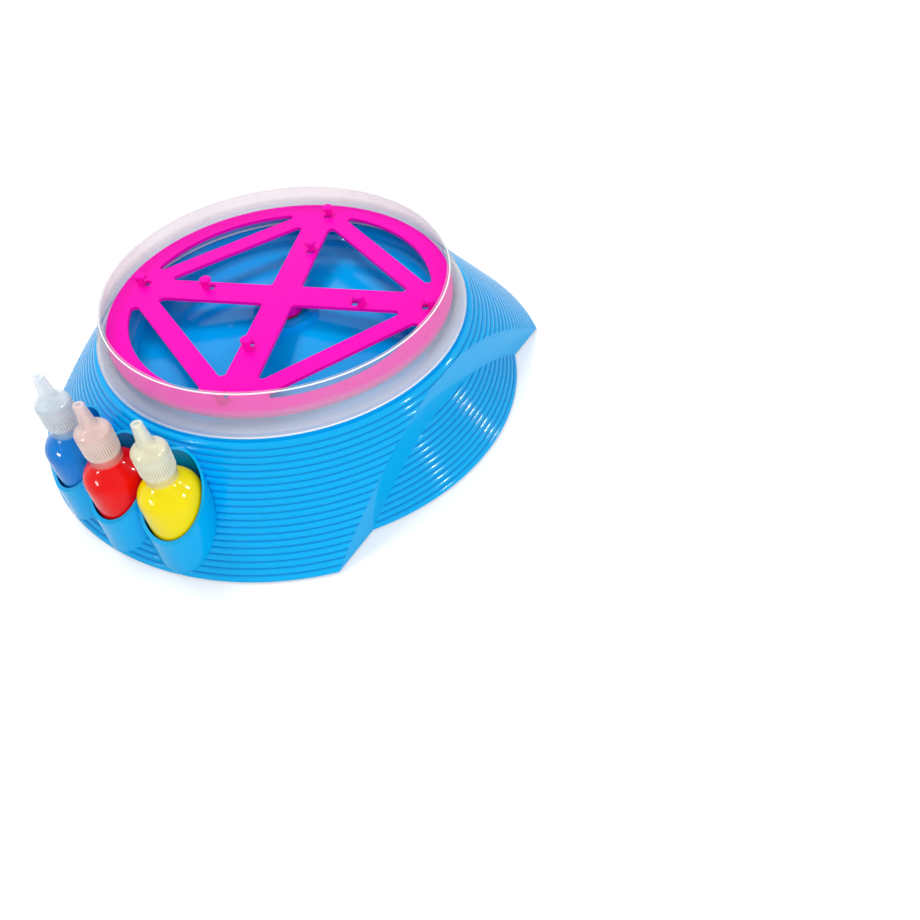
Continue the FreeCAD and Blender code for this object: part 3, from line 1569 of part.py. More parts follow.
def main():
    doc.recompute()
    for obj in doc.Objects:
        for flag in ("Invalid", "Error"):
            if flag in obj.State:
                raise RuntimeError(f"{obj.Name} ({obj.Label}): {obj.State}")
    os.makedirs("parts", exist_ok=True)
    for obj in pieces:
        shape = obj.Shape
        if shape.isNull() or not shape.isValid() or not shape.Solids:
            raise RuntimeError(f"{obj.Label}: the shape is not a valid solid")
        if obj.Label in lead_lengths:
            section = math.pi * float(dim.lead_radius) ** 2
            if abs(shape.Volume - section * lead_lengths[obj.Label]) > 0.01 * shape.Volume:
                raise RuntimeError(f"{obj.Label}: the lead's volume is wrong")
        shape.exportStep(os.path.join("parts", obj.Label + ".step"))
        box = shape.BoundBox
        print(
            f"{obj.Label:26s} solids {len(shape.Solids)}  volume {shape.Volume:10.1f}"
            f"  x {box.XMin:7.1f} {box.XMax:7.1f}  y {box.YMin:7.1f} {box.YMax:7.1f}"
            f"  z {box.ZMin:6.1f} {box.ZMax:6.1f}"
        )


main()
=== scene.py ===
import json
import math

import bmesh
import bpy
from mathutils import Matrix, Vector
from mathutils.geometry import interpolate_bezier


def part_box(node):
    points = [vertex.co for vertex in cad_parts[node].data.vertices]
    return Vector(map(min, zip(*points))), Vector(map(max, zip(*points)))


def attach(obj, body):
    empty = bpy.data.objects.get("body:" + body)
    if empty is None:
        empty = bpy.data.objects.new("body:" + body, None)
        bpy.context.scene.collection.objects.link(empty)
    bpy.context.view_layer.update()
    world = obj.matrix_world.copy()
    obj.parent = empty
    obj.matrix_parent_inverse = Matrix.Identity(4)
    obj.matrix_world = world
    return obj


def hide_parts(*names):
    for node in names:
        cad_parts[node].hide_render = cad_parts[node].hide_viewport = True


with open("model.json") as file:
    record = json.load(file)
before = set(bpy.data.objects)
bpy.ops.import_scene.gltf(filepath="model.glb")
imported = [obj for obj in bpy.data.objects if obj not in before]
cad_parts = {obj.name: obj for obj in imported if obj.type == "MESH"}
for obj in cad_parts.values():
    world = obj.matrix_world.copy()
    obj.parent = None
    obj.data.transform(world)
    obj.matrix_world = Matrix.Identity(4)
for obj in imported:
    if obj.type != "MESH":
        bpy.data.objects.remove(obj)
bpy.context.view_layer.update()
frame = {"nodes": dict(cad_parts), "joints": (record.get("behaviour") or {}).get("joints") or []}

# ---- Camera ----
# A 30 mm lens on a full-frame body, held over the front right corner of the machine. It looks
# down on the bottles and across the guard into the bowl.

camera = bpy.data.objects.new("camera", bpy.data.cameras.new("camera"))
bpy.context.scene.collection.objects.link(camera)
bpy.context.scene.camera = camera
camera.location = (0.26009, -0.23311, 0.29475)
camera.rotation_euler = [math.radians(angle) for angle in (41.806, 2.640, 30.702)]
camera.data.lens = 30.0
camera.data.sensor_width = 36.0
camera.data.clip_start = 0.01
bpy.context.scene.view_settings.view_transform = "Standard"

# ---- Table and light ----
# A sheet of plain white card under the machine, in an evenly lit white room. Two soft boxes light
# its surfaces, and small windows to the right, behind and to the left only glint on its gloss.

card_radius, card_sides = 9.0, 64
card_white = (0.82, 0.82, 0.82, 1)
near_glow, far_glow = 0.24, 0.64
glow_start, glow_width = 0.35, 1.11
room_light = 0.54
box_white, window_white = (1.0, 1.0, 1.0), (1.0, 0.96, 0.86)


class Value:
    """One socket of a finish. Python's operators on it add Math nodes."""

    def __init__(self, finish, socket):
        self.finish = finish
        self.socket = socket

    def maths(self, operation, first, second=0.0, clamp=False):
        settings = {"operation": operation, "use_clamp": clamp}
        return self.finish.add("ShaderNodeMath", settings, {0: first, 1: second})

    def __add__(self, other):
        return self.maths("ADD", self, other)

    def __radd__(self, other):
        return self.maths("ADD", other, self)

    def __sub__(self, other):
        return self.maths("SUBTRACT", self, other)

    def __rsub__(self, other):
        return self.maths("SUBTRACT", other, self)

    def __mul__(self, other):
        return self.maths("MULTIPLY", self, other)

    def __rmul__(self, other):
        return self.maths("MULTIPLY", other, self)

    def __truediv__(self, other):
        return self.maths("DIVIDE", self, other)

    def __rtruediv__(self, other):
        return self.maths("DIVIDE", other, self)

    def __pow__(self, other):
        return self.maths("POWER", self, other)

    def __abs__(self):
        return self.maths("ABSOLUTE", self)

    def below(self, limit):
        return self.maths("LESS_THAN", self, limit)

    def above(self, limit):
        return self.maths("GREATER_THAN", self, limit)

    def fraction(self):
        return self.maths("FRACT", self)

    def clamped(self):
        return self.maths("ADD", self, 0.0, clamp=True)

    def out(self, name):
        """Another output of the node that this value comes from."""
        return Value(self.finish, self.socket.node.outputs[name])


class Finish:
    """A material or a world, built one node at a time."""

    def __init__(self, holder):
        holder.use_nodes = True
        self.holder = holder
        self.tree = holder.node_tree
        self.tree.nodes.clear()

    def add(self, kind, settings=None, values=None, output=0):
        """One node: its settings are set first, then the values or links of its sockets."""
        node = self.tree.nodes.new(kind)
        for name, setting in (settings or {}).items():
            setattr(node, name, setting)
        for name, value in (values or {}).items():
            socket = node.inputs[name]
            if isinstance(value, Value):
                self.tree.links.new(value.socket, socket)
            else:
                socket.default_value = value
        return Value(self, node.outputs[output]) if len(node.outputs) else None

    def vectors(self, operation, first, second=(0, 0, 0), output="Vector"):
        """Maths on two vectors, with a vector or a number as its result."""
        return self.add(
            "ShaderNodeVectorMath", {"operation": operation}, {0: first, 1: second}, output
        )

    def place(self):
        """Where a point is on the machine, in metres."""
        return self.add("ShaderNodeTexCoord").out("Object")

    def axes(self, place):
        split = self.add("ShaderNodeSeparateXYZ", values={0: place})
        return split.out("X"), split.out("Y"), split.out("Z")

    def from_axis(self, place, joint):
        """How far up a joint's axis a point is, and how far away from it."""
        from_foot = self.vectors("SUBTRACT", place, joint["pos_m"])
        across = self.vectors("CROSS_PRODUCT", from_foot, joint["axis"])
        up = self.vectors("DOT_PRODUCT", from_foot, joint["axis"], "Value")
        return up, self.vectors("LENGTH", across, output="Value")

    def noise(self, place, scale, detail=2.0):
        return self.add(
            "ShaderNodeTexNoise", values={"Vector": place, "Scale": scale, "Detail": detail}
        )

    def blend(self, share, first, second):
        """The first colour where share is 0 and the second where it is 1."""
        values = {"Factor": share}
        for name, shade in (("A", first), ("B", second)):
            values[name] = shade if isinstance(shade, Value) else (*shade, 1)
        return self.add("ShaderNodeMix", {"data_type": "RGBA"}, values, output="Result")

    def bump(self, height, strength, depth):
        return self.add(
            "ShaderNodeBump", values={"Strength": strength, "Distance": depth, "Height": height}
        )

    def plastic(self, **sockets):
        """Ends the finish in one Principled shader with the named sockets."""
        values = {name.replace("_", " "): value for name, value in sockets.items()}
        if "Gloss" in values:
            values["Specular IOR Level"] = values.pop("Gloss")
        return self.surface(self.add("ShaderNodeBsdfPrincipled", values=values))

    def surface(self, shader):
        self.add("ShaderNodeOutputMaterial", values={"Surface": shader})
        return self.holder


def new_finish(name):
    return Finish(bpy.data.materials.new(name))


def seen_directly(finish):
    """1 for what the lens, a reflection or a clear piece sees, and 0 for light on surfaces."""
    path = finish.add("ShaderNodeLightPath")
    mirrored = path.out("Is Glossy Ray") + path.out("Is Transmission Ray")
    return (path.out("Is Camera Ray") + mirrored).clamped()


def linked(name, mesh):
    """A mesh as an object of the scene, in the machine's own frame."""
    obj = bpy.data.objects.new(name, mesh)
    bpy.context.scene.collection.objects.link(obj)
    return obj


card = new_finish("white_card")
sheet = card.add(
    "ShaderNodeBsdfPrincipled",
    values={"Base Color": card_white, "Roughness": 0.9, "Specular IOR Level": 0.0},
)
card_x, card_y, _ = card.axes(card.place())
from_machine = (card_x * card_x + card_y * card_y) ** 0.5
away = ((from_machine - glow_start) / glow_width).clamped()
glow_strength = seen_directly(card) * (away * (far_glow - near_glow) + near_glow)
glow = card.add("ShaderNodeEmission", values={"Color": (1, 1, 1, 1), "Strength": glow_strength})
card_turns = [2 * math.pi * side / card_sides for side in range(card_sides)]
table_mesh = bpy.data.meshes.new("table_sheet")
table_mesh.from_pydata(
    [(card_radius * math.cos(turn), card_radius * math.sin(turn), 0) for turn in card_turns],
    [],
    [range(card_sides)],
)
table_mesh.materials.append(
    card.surface(card.add("ShaderNodeAddShader", values={0: sheet, 1: glow}))
)
linked("table_sheet", table_mesh)

sky = Finish(bpy.data.worlds.new("white_room"))
bpy.context.scene.world = sky.holder
room_strength = seen_directly(sky) * (1 - room_light) + room_light
room = sky.add("ShaderNodeBackground", values={"Color": (1, 1, 1, 1), "Strength": room_strength})
sky.add("ShaderNodeOutputWorld", values={"Surface": room})

# Bearing and rise in degrees, distance and size in metres, power in watts, and whether the lamp
# lights the surfaces or only glints on them.
for name, bearing, rise, distance, width, height, power, fills in (
    ("overhead_box", 165, 64, 1.5, 0.6, 0.6, 10.0, True),
    ("front_box", -28, 38, 1.5, 0.8, 0.8, 9.5, True),
    ("right_window", 10, 29, 1.3, 0.055, 0.20, 12.0, False),
    ("rear_window", 46, 29, 1.3, 0.05, 0.18, 9.0, False),
    ("left_window_low", -109, 22, 1.2, 0.24, 0.09, 5.6, False),
    ("left_window_high", -112, 39, 1.2, 0.20, 0.06, 3.2, False),
):
    lamp = bpy.data.lights.new(name, "AREA")
    lamp.shape = "RECTANGLE"
    lamp.size = width
    lamp.size_y = height
    lamp.energy = power
    lamp.color = box_white if fills else window_white
    box = linked(name, lamp)
    box.visible_diffuse = fills
    box.visible_glossy = not fills
    turn, climb = math.radians(bearing), math.radians(rise)
    towards = Vector(
        (math.cos(climb) * math.cos(turn), math.cos(climb) * math.sin(turn), math.sin(climb))
    )
    box.location = towards * distance
    box.rotation_euler = towards.to_track_quat("Z", "Y").to_euler()

# ---- Upper housing and bottle cups ----
# Two glossy cyan polystyrene mouldings that meet along a hidden seam: a cone of round beads,
# cut flat at both sides above smaller beaded tiers, and three open cups for the bottles.

MM = 0.001
base_gap = 1.0 * MM
wing_foot, wing_neck, wing_height, wing_beads = 141.5 * MM, 98.2 * MM, 47.8 * MM, 20
tier_foot, tier_neck, tier_height, tier_beads = 123.75 * MM, 97.0 * MM, 31.0 * MM, 13
groove_reach, groove_end, groove_sharpness = 1.1 * MM, 0.3 * MM, 7
# How far painted shade darkens the grooves and the insides of the cups towards a deep blue.
groove_painted_shade, cup_painted_shade = 0.85, 0.7
cup_pitch, rim_slope = math.radians(14.2), math.radians(43.2)
cup_bore, rim_round = 14.9 * MM, 0.3 * MM
rim_bend, rim_match = math.radians(25), 0.9992
weld_gap, square_to_axis = 0.002 * MM, 0.99995
nodes = frame["nodes"]
joints = {joint["name"]: joint for joint in frame["joints"]}


def joined_copy(node):
    """A CAD node's skin, its loose triangles joined up."""
    skin = bmesh.new()
    skin.from_mesh(nodes[node].data)
    bmesh.ops.remove_doubles(skin, verts=skin.verts, dist=weld_gap)
    return skin


def soften(skin, crease):
    """Shades a skin smoothly, except over steep edges and round faces square to an axis."""
    for face in skin.faces:
        face.smooth = True
    for edge in skin.edges:
        edge.smooth = edge.is_manifold and edge.calc_face_angle(0) < math.radians(crease)
        if edge.smooth:
            first, second = [
                max(abs(part) for part in face.normal) > square_to_axis
                for face in edge.link_faces
            ]
            edge.smooth = first == second


def plain_mesh(name, skin):
    mesh = bpy.data.meshes.new(name)
    skin.to_mesh(mesh)
    skin.free()
    return mesh


def mesh_piece(name, mesh, body, slot, finish, *stands_for):
    """Links a mesh as a piece that rides on a body and stands for CAD nodes."""
    mesh.materials.clear()
    mesh.materials.append(finish)
    obj = linked(name, mesh)
    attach(obj, body)
    if stands_for:
        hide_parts(*stands_for)


def skin_piece(node, name, body, slot, finish, skin=None):
    """A smooth piece in a CAD node's place, from the node's own skin or a reworked one."""
    skin = joined_copy(node) if skin is None else skin
    soften(skin, 40.0)
    mesh_piece(name, plain_mesh(name, skin), body, slot, finish, node)


def moulded(name, colour, deep, roughness, gloss=0.25, patch=7.0, speck=900.0):
    """Moulded plastic: slow changes of tone, fine specks and a faint peel on its gloss."""
    finish = new_finish(name)
    place = finish.place()
    slow = finish.noise(place, patch, 3.0)
    fine = finish.noise(place, speck)
    return finish.plastic(
        Base_Color=finish.blend(slow * 1.4 - 0.2, deep, colour),
        Roughness=fine * 0.08 + slow * 0.06 + (roughness - 0.07),
        Gloss=gloss,
        Normal=finish.bump(fine + slow, 0.03, 0.5 * MM),
    )


def beaded(name, colour, deep, painted_shade_colour, roughness, gloss):
    """The housing's plastic, with painted shade in the grooves between its beads and inside the
    cups.
    """
    finish = new_finish(name)
    place = finish.place()
    slow = finish.noise(place, 6.0, 3.0)
    fine = finish.noise(place, 1000.0)
    x, y, z = finish.axes(place)
    radius = (x * x + y * y) ** 0.5
    grooves = 0.0
    for foot, neck, height, beads in (
        (wing_foot, wing_neck, wing_height, wing_beads),
        (tier_foot, tier_neck, tier_height, tier_beads),
    ):
        risen = (z - base_gap) / (height - base_gap)
        on_cone = abs(radius - (foot - risen * (foot - neck))).below(groove_reach)
        on_cone = on_cone * z.above(base_gap + groove_end) * z.below(height - groove_end)
        off_crest = abs((risen * beads).fraction() - 0.5) * 2
        grooves = on_cone * off_crest ** groove_sharpness + grooves
    in_cup = 0.0
    for paint in ("blue", "red", "yellow"):
        up, out = finish.from_axis(place, joints[f"cap_{paint}_twist"])
        in_cup = out.below(cup_bore + 0.1 * MM) * up.above(-0.2 * MM) + in_cup
    tone = finish.blend(slow * 1.4 - 0.2, deep, colour)
    # Painted shade: the grooves between the beads and the insides of the cups are darkened where
    # shade falls.
    painted_shade_share = (grooves * (1 - in_cup) * groove_painted_shade + in_cup * cup_painted_shade).clamped()
    return finish.plastic(
        Base_Color=finish.blend(painted_shade_share, tone, painted_shade_colour),
        Roughness=fine * 0.04 + slow * 0.04 + (roughness - 0.04),
        Gloss=gloss,
        Normal=finish.bump(fine + slow, 0.015, 0.5 * MM),
    )


housing_blue = beaded(
    "housing_blue",
    colour=(0.0, 0.43, 0.86),
    deep=(0.0, 0.39, 0.82),
    painted_shade_colour=(0.0, 0.16, 0.54),
    roughness=0.09,
    gloss=0.15,
)
skin_piece("upper_housing", "housing_skin", "base", "housing_blue", housing_blue)

# An edge of a rim is a sharp bend beside a face that looks out of the cup's oblique mouth.
cups = joined_copy("bottle_cups")
rims = set()
for step in (-1, 0, 1):
    facing = Matrix.Rotation(step * cup_pitch, 3, "Z") @ Vector(
        (0, -math.sin(rim_slope), math.cos(rim_slope))
    )
    for edge in cups.edges:
        if edge.is_manifold and edge.calc_face_angle(0) > rim_bend:
            if any(face.normal.dot(facing) > rim_match for face in edge.link_faces):
                rims.add(edge)
bmesh.ops.bevel(
    cups, geom=list(rims), offset=rim_round, segments=3, affect="EDGES", clamp_overlap=True
)
skin_piece("bottle_cups", "cups_skin", "base", "housing_blue", housing_blue, cups)

# ---- Paint bowl ----
# A polished tray of the same blue, stepped inside, that catches what the turntable throws off.
# Its flange lies on the housing's neck, and a boss stands in the middle round the spindle.

bowl_blue = moulded(
    "bowl_blue", (0.0, 0.44, 0.90), (0.0, 0.28, 0.78), roughness=0.12, gloss=0.25, patch=14.0
)
skin_piece("paint_bowl", "bowl_skin", "base", "bowl_blue", bowl_blue)

# ---- Turntable ----
# One magenta moulding: ring, cross, four bars and eight hooked pegs for the corners of a card.
# It is pushed onto the plug on the motor's shaft.

edge_round, flat_bend, sharp_bend = 0.22 * MM, math.radians(0.4), math.radians(50)
gate_radius, gate_depth = 1.3 * MM, 0.5 * MM
lip_outline = [
    (0, -1.75), (2.5, -1.75), (2.95, -1.5), (3.06, -0.9), (3.0, -0.4), (2.75, 0.02),
    (1.6, 0.16), (0, 0.2),
]


def eased(node, edge_width):
    """A CAD node's skin with its sharp outside edges rounded as a mould leaves them."""
    skin = joined_copy(node)
    bmesh.ops.dissolve_limit(
        skin,
        angle_limit=flat_bend,
        verts=skin.verts,
        edges=skin.edges,
        use_dissolve_boundaries=False,
    )
    sharp = [
        edge
        for edge in skin.edges
        if edge.is_manifold and edge.is_convex and edge.calc_face_angle(0) > sharp_bend
    ]
    bmesh.ops.bevel(
        skin, geom=sharp, offset=edge_width, segments=2, affect="EDGES", clamp_overlap=False
    )
    bmesh.ops.triangulate(skin, faces=[face for face in skin.faces if len(face.verts) > 4])
    return skin


def turned(outline, steps):
    """A closed outline of (radius, height) in millimetres, turned round the upright axis."""
    skin = bmesh.new()
    turns = [2 * math.pi * step / steps for step in range(steps)]
    rings = [
        [
            skin.verts.new(
                (radius * math.cos(turn) * MM, radius * math.sin(turn) * MM, height * MM)
            )
            for turn in (turns if radius > 0 else [0.0])
        ]
        for radius, height in outline
    ]
    for lower, upper in zip(rings, rings[1:] + rings[:1]):
        if len(lower) + len(upper) == 2:
            continue
        for step in range(steps):
            after = (step + 1) % steps
            corners = [
                lower[step % len(lower)],
                lower[after % len(lower)],
                upper[after % len(upper)],
                upper[step % len(upper)],
            ]
            skin.faces.new(list(dict.fromkeys(corners)))
    bmesh.ops.recalc_face_normals(skin, faces=skin.faces)
    soften(skin, 50.0)
    return skin


class Tree(Finish):
    """A Geometry Nodes tree with named inputs for its sizes."""

    def __init__(self, name, **inputs):
        self.holder = bpy.data.node_groups.new(name, "GeometryNodeTree")
        self.tree = self.holder
        self.names = {}
        face = self.tree.interface
        face.new_socket("Geometry", in_out="OUTPUT", socket_type="NodeSocketGeometry")
        for label, kind in {"Geometry": "Geometry", **inputs, "Finish": "Material"}.items():
            socket = face.new_socket(label, in_out="INPUT", socket_type="NodeSocket" + kind)
            self.names[label] = socket.identifier
        self.given = self.add("NodeGroupInput")

    def size(self, name):
        return self.given.out(name)

    def join(self, *parts):
        """Several shapes as one."""
        whole = self.add("GeometryNodeJoinGeometry")
        for part in parts:
            self.tree.links.new(part.socket, whole.socket.node.inputs[0])
        return whole

    def lift(self, shape, height):
        """A shape moved up by a height."""
        upward = self.add("ShaderNodeCombineXYZ", values={"Z": height})
        return self.add(
            "GeometryNodeTransform", values={"Geometry": shape, "Translation": upward}
        )

    def blank(self):
        """The shape of the object that is given as the blank."""
        return self.add(
            "GeometryNodeObjectInfo", values={"Object": self.size("Blank")}, output="Geometry"
        )

    def close(self, shape):
        """Ends the tree in Realize Instances and Set Material."""
        real = self.add("GeometryNodeRealizeInstances", values={0: shape})
        coated = self.add(
            "GeometryNodeSetMaterial", values={"Geometry": real, "Material": self.size("Finish")}
        )
        self.add("NodeGroupOutput", values={0: coated})

    def grow(self, name, mesh, **sizes):
        """Runs the tree on a mesh and hands back the plain mesh that it makes."""
        carrier = linked(name, mesh)
        modifier = carrier.modifiers.new(name, "NODES")
        modifier.node_group = self.holder
        for label, value in sizes.items():
            modifier[self.names[label]] = value
        graph = bpy.context.evaluated_depsgraph_get()
        made = bpy.data.meshes.new_from_object(carrier.evaluated_get(graph), depsgraph=graph)
        carrier.modifiers.clear()
        bpy.data.objects.remove(carrier)
        made.name = name
        return made

    def repeat(self, name, places, blank_skin, **sizes):
        """Runs the tree on bare points, with a skin as the blank that it sets on each."""
        points = bpy.data.meshes.new(name + "_places")
        points.from_pydata(places, [], [])
        blank = bpy.data.objects.new(name + "_blank", plain_mesh(name + "_blank", blank_skin))
        made = self.grow(name, points, Blank=blank, **sizes)
        bpy.data.objects.remove(blank)
        return made


def box_round(places):
    """The lowest and highest corner of the box round some points."""
    return [
        Vector([pick(place[axis] for place in places) for axis in range(3)])
        for pick in (min, max)
    ]


def peg_tops(skin, depth, spread):
    """The middle of each separate top that lies within a depth of a skin's highest point."""
    crown = max(vert.co.z for vert in skin.verts)
    groups = []
    for place in [vert.co for vert in skin.verts if vert.co.z > crown - depth]:
        near = [group for group in groups if (group[0] - place).length < spread]
        if near:
            near[0].append(place)
        else:
            groups.append([place])
    return [sum(box_round(group), Vector()) / 2 for group in groups]


def magenta_plate(name, colour, deep, roughness, gloss):
    """The turntable's plastic, with the small dimple in the middle where it was injected."""
    finish = new_finish(name)
    place = finish.place()
    slow = finish.noise(place, 7.0, 3.0)
    fine = finish.noise(place, 900.0)
    x, y, _ = finish.axes(place)
    off = (x * x + y * y) ** 0.5 / gate_radius
    ring = 1 - (abs(off - 1) * 2.5).clamped()
    return finish.plastic(
        Base_Color=finish.blend((slow * 1.4 - 0.2) * (1 - ring * 0.6), deep, colour),
        Roughness=fine * 0.08 + slow * 0.06 + (roughness - 0.07),
        Gloss=gloss,
        Normal=finish.bump((fine + slow) * 0.03 + off.clamped(), 1.0, gate_depth),
    )


turntable_magenta = magenta_plate(
    "turntable_magenta", (0.95, 0.002, 0.50), (0.90, 0.001, 0.44), roughness=0.34, gloss=0.07
)
copies = Tree("copies_on_points", Blank="Object")
copies.close(
    copies.add(
        "GeometryNodeInstanceOnPoints",
        values={"Points": copies.size("Geometry"), "Instance": copies.blank()},
    )
)
plate = joined_copy("turntable")
lips = copies.repeat(
    "peg_lips",
    peg_tops(plate, 0.05 * MM, 6 * MM),
    turned(lip_outline, 32),
    Finish=turntable_magenta,
)
plate.free()
mesh_piece("peg_lips", lips, "rotor", "turntable_magenta", turntable_magenta)
skin_piece(
    "turntable", "turntable_skin", "rotor", "turntable_magenta", turntable_magenta,
    eased("turntable", edge_round),
)

# ---- Splash guard ----
# A frosted polypropylene ring that lifts off. It is milky, thicker to look through at its foot,
# and thin white rings of painted highlight run round its rim, its foot and its spigot's end.

guard_foot, guard_rim, spigot_end = 49.2 * MM, 69.5 * MM, 45.9 * MM
rim_inside, rim_outside, foot_outside = 87.7 * MM, 89.2 * MM, 95.6 * MM
murk_height = 12.7 * MM


def frosted_wall(name, colour, low_white_and_painted_blue, painted_highlight_colour, clear, milky):
    """Milky plastic, clearer towards the rim and milkier where it is seen along its surface."""
    finish = new_finish(name)
    place = finish.place()
    cloud = finish.noise(place, 24.0, 3.0)
    fine = finish.noise(place, 1400.0, 1.0)
    x, y, height = finish.axes(place)
    radius = (x * x + y * y) ** 0.5
    rise = ((height - guard_foot) / murk_height).clamped()
    outer_rim = radius.above(rim_outside - 0.45 * MM)
    inner_rim = radius.below(rim_inside + 0.2 * MM) * 0.3
    rim = height.above(guard_rim - 0.4 * MM) * (outer_rim + inner_rim)
    foot = height.below(guard_foot + 0.8 * MM) * radius.above(foot_outside)
    # Painted highlights: thin white rings, more opaque, at the rim, round the outside of the foot
    # and at the spigot's lower end.
    painted_highlight_mask = (rim + foot + height.below(spigot_end)).clamped()
    along = finish.add("ShaderNodeLayerWeight", values={"Blend": 0.25}, output="Facing")
    on_cone = height.above(guard_foot - 0.1 * MM)
    murk = (1 - rise) ** 0.5 * on_cone * (milky - clear) + clear
    body = murk + (cloud - 0.5) * 0.1 + along ** 2 * 0.45
    return finish.plastic(
        # Low down the wall is milky white with a painted blue cast of the bowl's light scattered
        # through it.
        Base_Color=finish.blend(painted_highlight_mask, finish.blend(rise, low_white_and_painted_blue, colour), painted_highlight_colour),
        Roughness=fine * 0.1 + 0.2,
        Alpha=(body + painted_highlight_mask * 0.75).clamped(),
        Gloss=0.3,
        Normal=finish.bump(fine, 0.05, 0.4 * MM),
    )


guard_frosted = frosted_wall(
    "guard_frosted",
    colour=(0.52, 0.50, 0.53),
    # Partly painted light: milky white of the thick foot, with a painted blue cast of the bowl's
    # scattered light.
    low_white_and_painted_blue=(0.76, 0.84, 0.98),
    painted_highlight_colour=(1.0, 1.0, 1.0),
    clear=0.17,
    milky=0.44,
)
skin_piece("splash_guard", "guard_skin", "guard", "guard_frosted", guard_frosted)

# ---- Paint bottles ----
# Three soft polythene squeeze bottles with a moulded thread on the neck. The paint fills them to
# the foot of the neck, and above it the wall shows pale.

cup_floor, paint_depth, paint_fade = 3.0 * MM, 47.3 * MM, 1.43 * MM
paint_level = cup_floor + paint_depth
bottle_wall = 1.2


def arc(start, first, second, end, count):
    """Points along a curve between two corners of an outline, in millimetres."""
    flat = [Vector((*corner, 0)) for corner in (start, first, second, end)]
    return [(point.x, point.y) for point in interpolate_bezier(*flat, count)]


shoulder = arc((14.0, 35.5), (14.0, 41.8), (9.0, 43.9), (7.3, 46.6), 14)
bottle_outline = (
    [(0, 0.5), (9.5, 0.5), (10.2, 0.0), (12.0, 0.0)]
    + arc((12.6, 0.2), (13.4, 0.6), (14.0, 1.6), (14.0, 3.0), 5)
    + shoulder
    + arc((7.0, 47.2), (6.7, 47.9), (6.3, 48.4), (6.3, 49.4), 4)
    + [(6.3, 60.2), (6.1, 60.5), (5.3, 60.5), (5.1, 60.2), (5.1, 48.6)]
    + [(radius - bottle_wall, height - bottle_wall / 2) for radius, height in reversed(shoulder)]
    + [(12.8, 3.0), (11.6, 1.5), (0, 1.5)]
)
thread = Tree(
    "neck_thread", Turns="Float", Radius="Float", Rise="Float", Start="Float", Ridge="Float"
)
helix = thread.add(
    "GeometryNodeCurveSpiral",
    values={
        "Resolution": 36,
        "Rotations": thread.size("Turns"),
        "Start Radius": thread.size("Radius"),
        "End Radius": thread.size("Radius"),
        "Height": thread.size("Rise"),
    },
)
section = thread.add(
    "GeometryNodeCurvePrimitiveCircle", values={"Resolution": 8, "Radius": thread.size("Ridge")}
)
ridge = thread.add(
    "GeometryNodeCurveToMesh",
    values={
        "Curve": thread.lift(helix, thread.size("Start")),
        "Profile Curve": section,
        "Fill Caps": True,
    },
)
threaded = thread.join(ridge, thread.size("Geometry"))
thread.close(thread.add("GeometryNodeSetShadeSmooth", values={0: threaded}))


def dimmed(shade, share):
    return tuple(part * share for part in shade)


def soft_wall(name, shade, pale):
    """Polythene that takes the paint's colour below its level and is pale above it."""
    finish = new_finish(name)
    place = finish.place()
    cloud = finish.noise(place, 40.0, 2.0)
    fine = finish.noise(place, 1500.0, 1.0)
    height = finish.axes(place)[2]
    empty = ((height - paint_level) / paint_fade + 0.5).clamped()
    tone = finish.blend(cloud * 1.2 - 0.1, dimmed(shade, 0.9), shade)
    return finish.plastic(
        Base_Color=finish.blend(empty, tone, pale),
        Roughness=fine * 0.04 + 0.09,
        Alpha=0.94 - empty * 0.4,
        Gloss=0.2,
        Normal=finish.bump(cloud + fine * 0.1, 0.04, 0.6 * MM),
    )


def cap_frame(colour):
    """The frame of a bottle, with its axis upright and its base at the floor of its cup."""
    joint = joints[f"cap_{colour}_twist"]
    lean = Vector((0, 0, 1)).rotation_difference(Vector(joint["axis"]))
    return Matrix.Translation(joint["pos_m"]) @ lean.to_matrix().to_4x4()


def dress(finish, *names):
    """Gives CAD nodes that keep their own skin their finish."""
    for name in names:
        nodes[name].data.materials.clear()
        nodes[name].data.materials.append(finish)


for colour, shade, pale in (
    ("blue", (0.0, 0.23, 0.76), (0.45, 0.70, 0.95)),
    ("red", (0.95, 0.001, 0.004), (1.0, 0.34, 0.32)),
    ("yellow", (1.0, 0.82, 0.0), (1.0, 0.88, 0.42)),
):
    dress(moulded(f"paint_{colour}", shade, dimmed(shade, 0.9), 0.25), f"paint_{colour}")
    wall = soft_wall(f"bottle_{colour}", shade, pale)
    mesh = thread.grow(
        f"bottle_{colour}_wall",
        plain_mesh(f"bottle_{colour}_body", turned(bottle_outline, 72)),
        Turns=3.6,
        Radius=6.25 * MM,
        Rise=7.6 * MM,
        Start=51.8 * MM,
        Ridge=0.42 * MM,
        Finish=wall,
    )
    mesh.transform(cap_frame(colour))
    bottle = f"bottle_{colour}"
    mesh_piece(f"bottle_{colour}_wall", mesh, bottle, bottle, wall, bottle)

# ---- Bottle caps ----
# Clear screw caps moulded in one with a tapered nozzle. The skirt has fine upright ribs to grip,
# and the neck's thread shows through it.

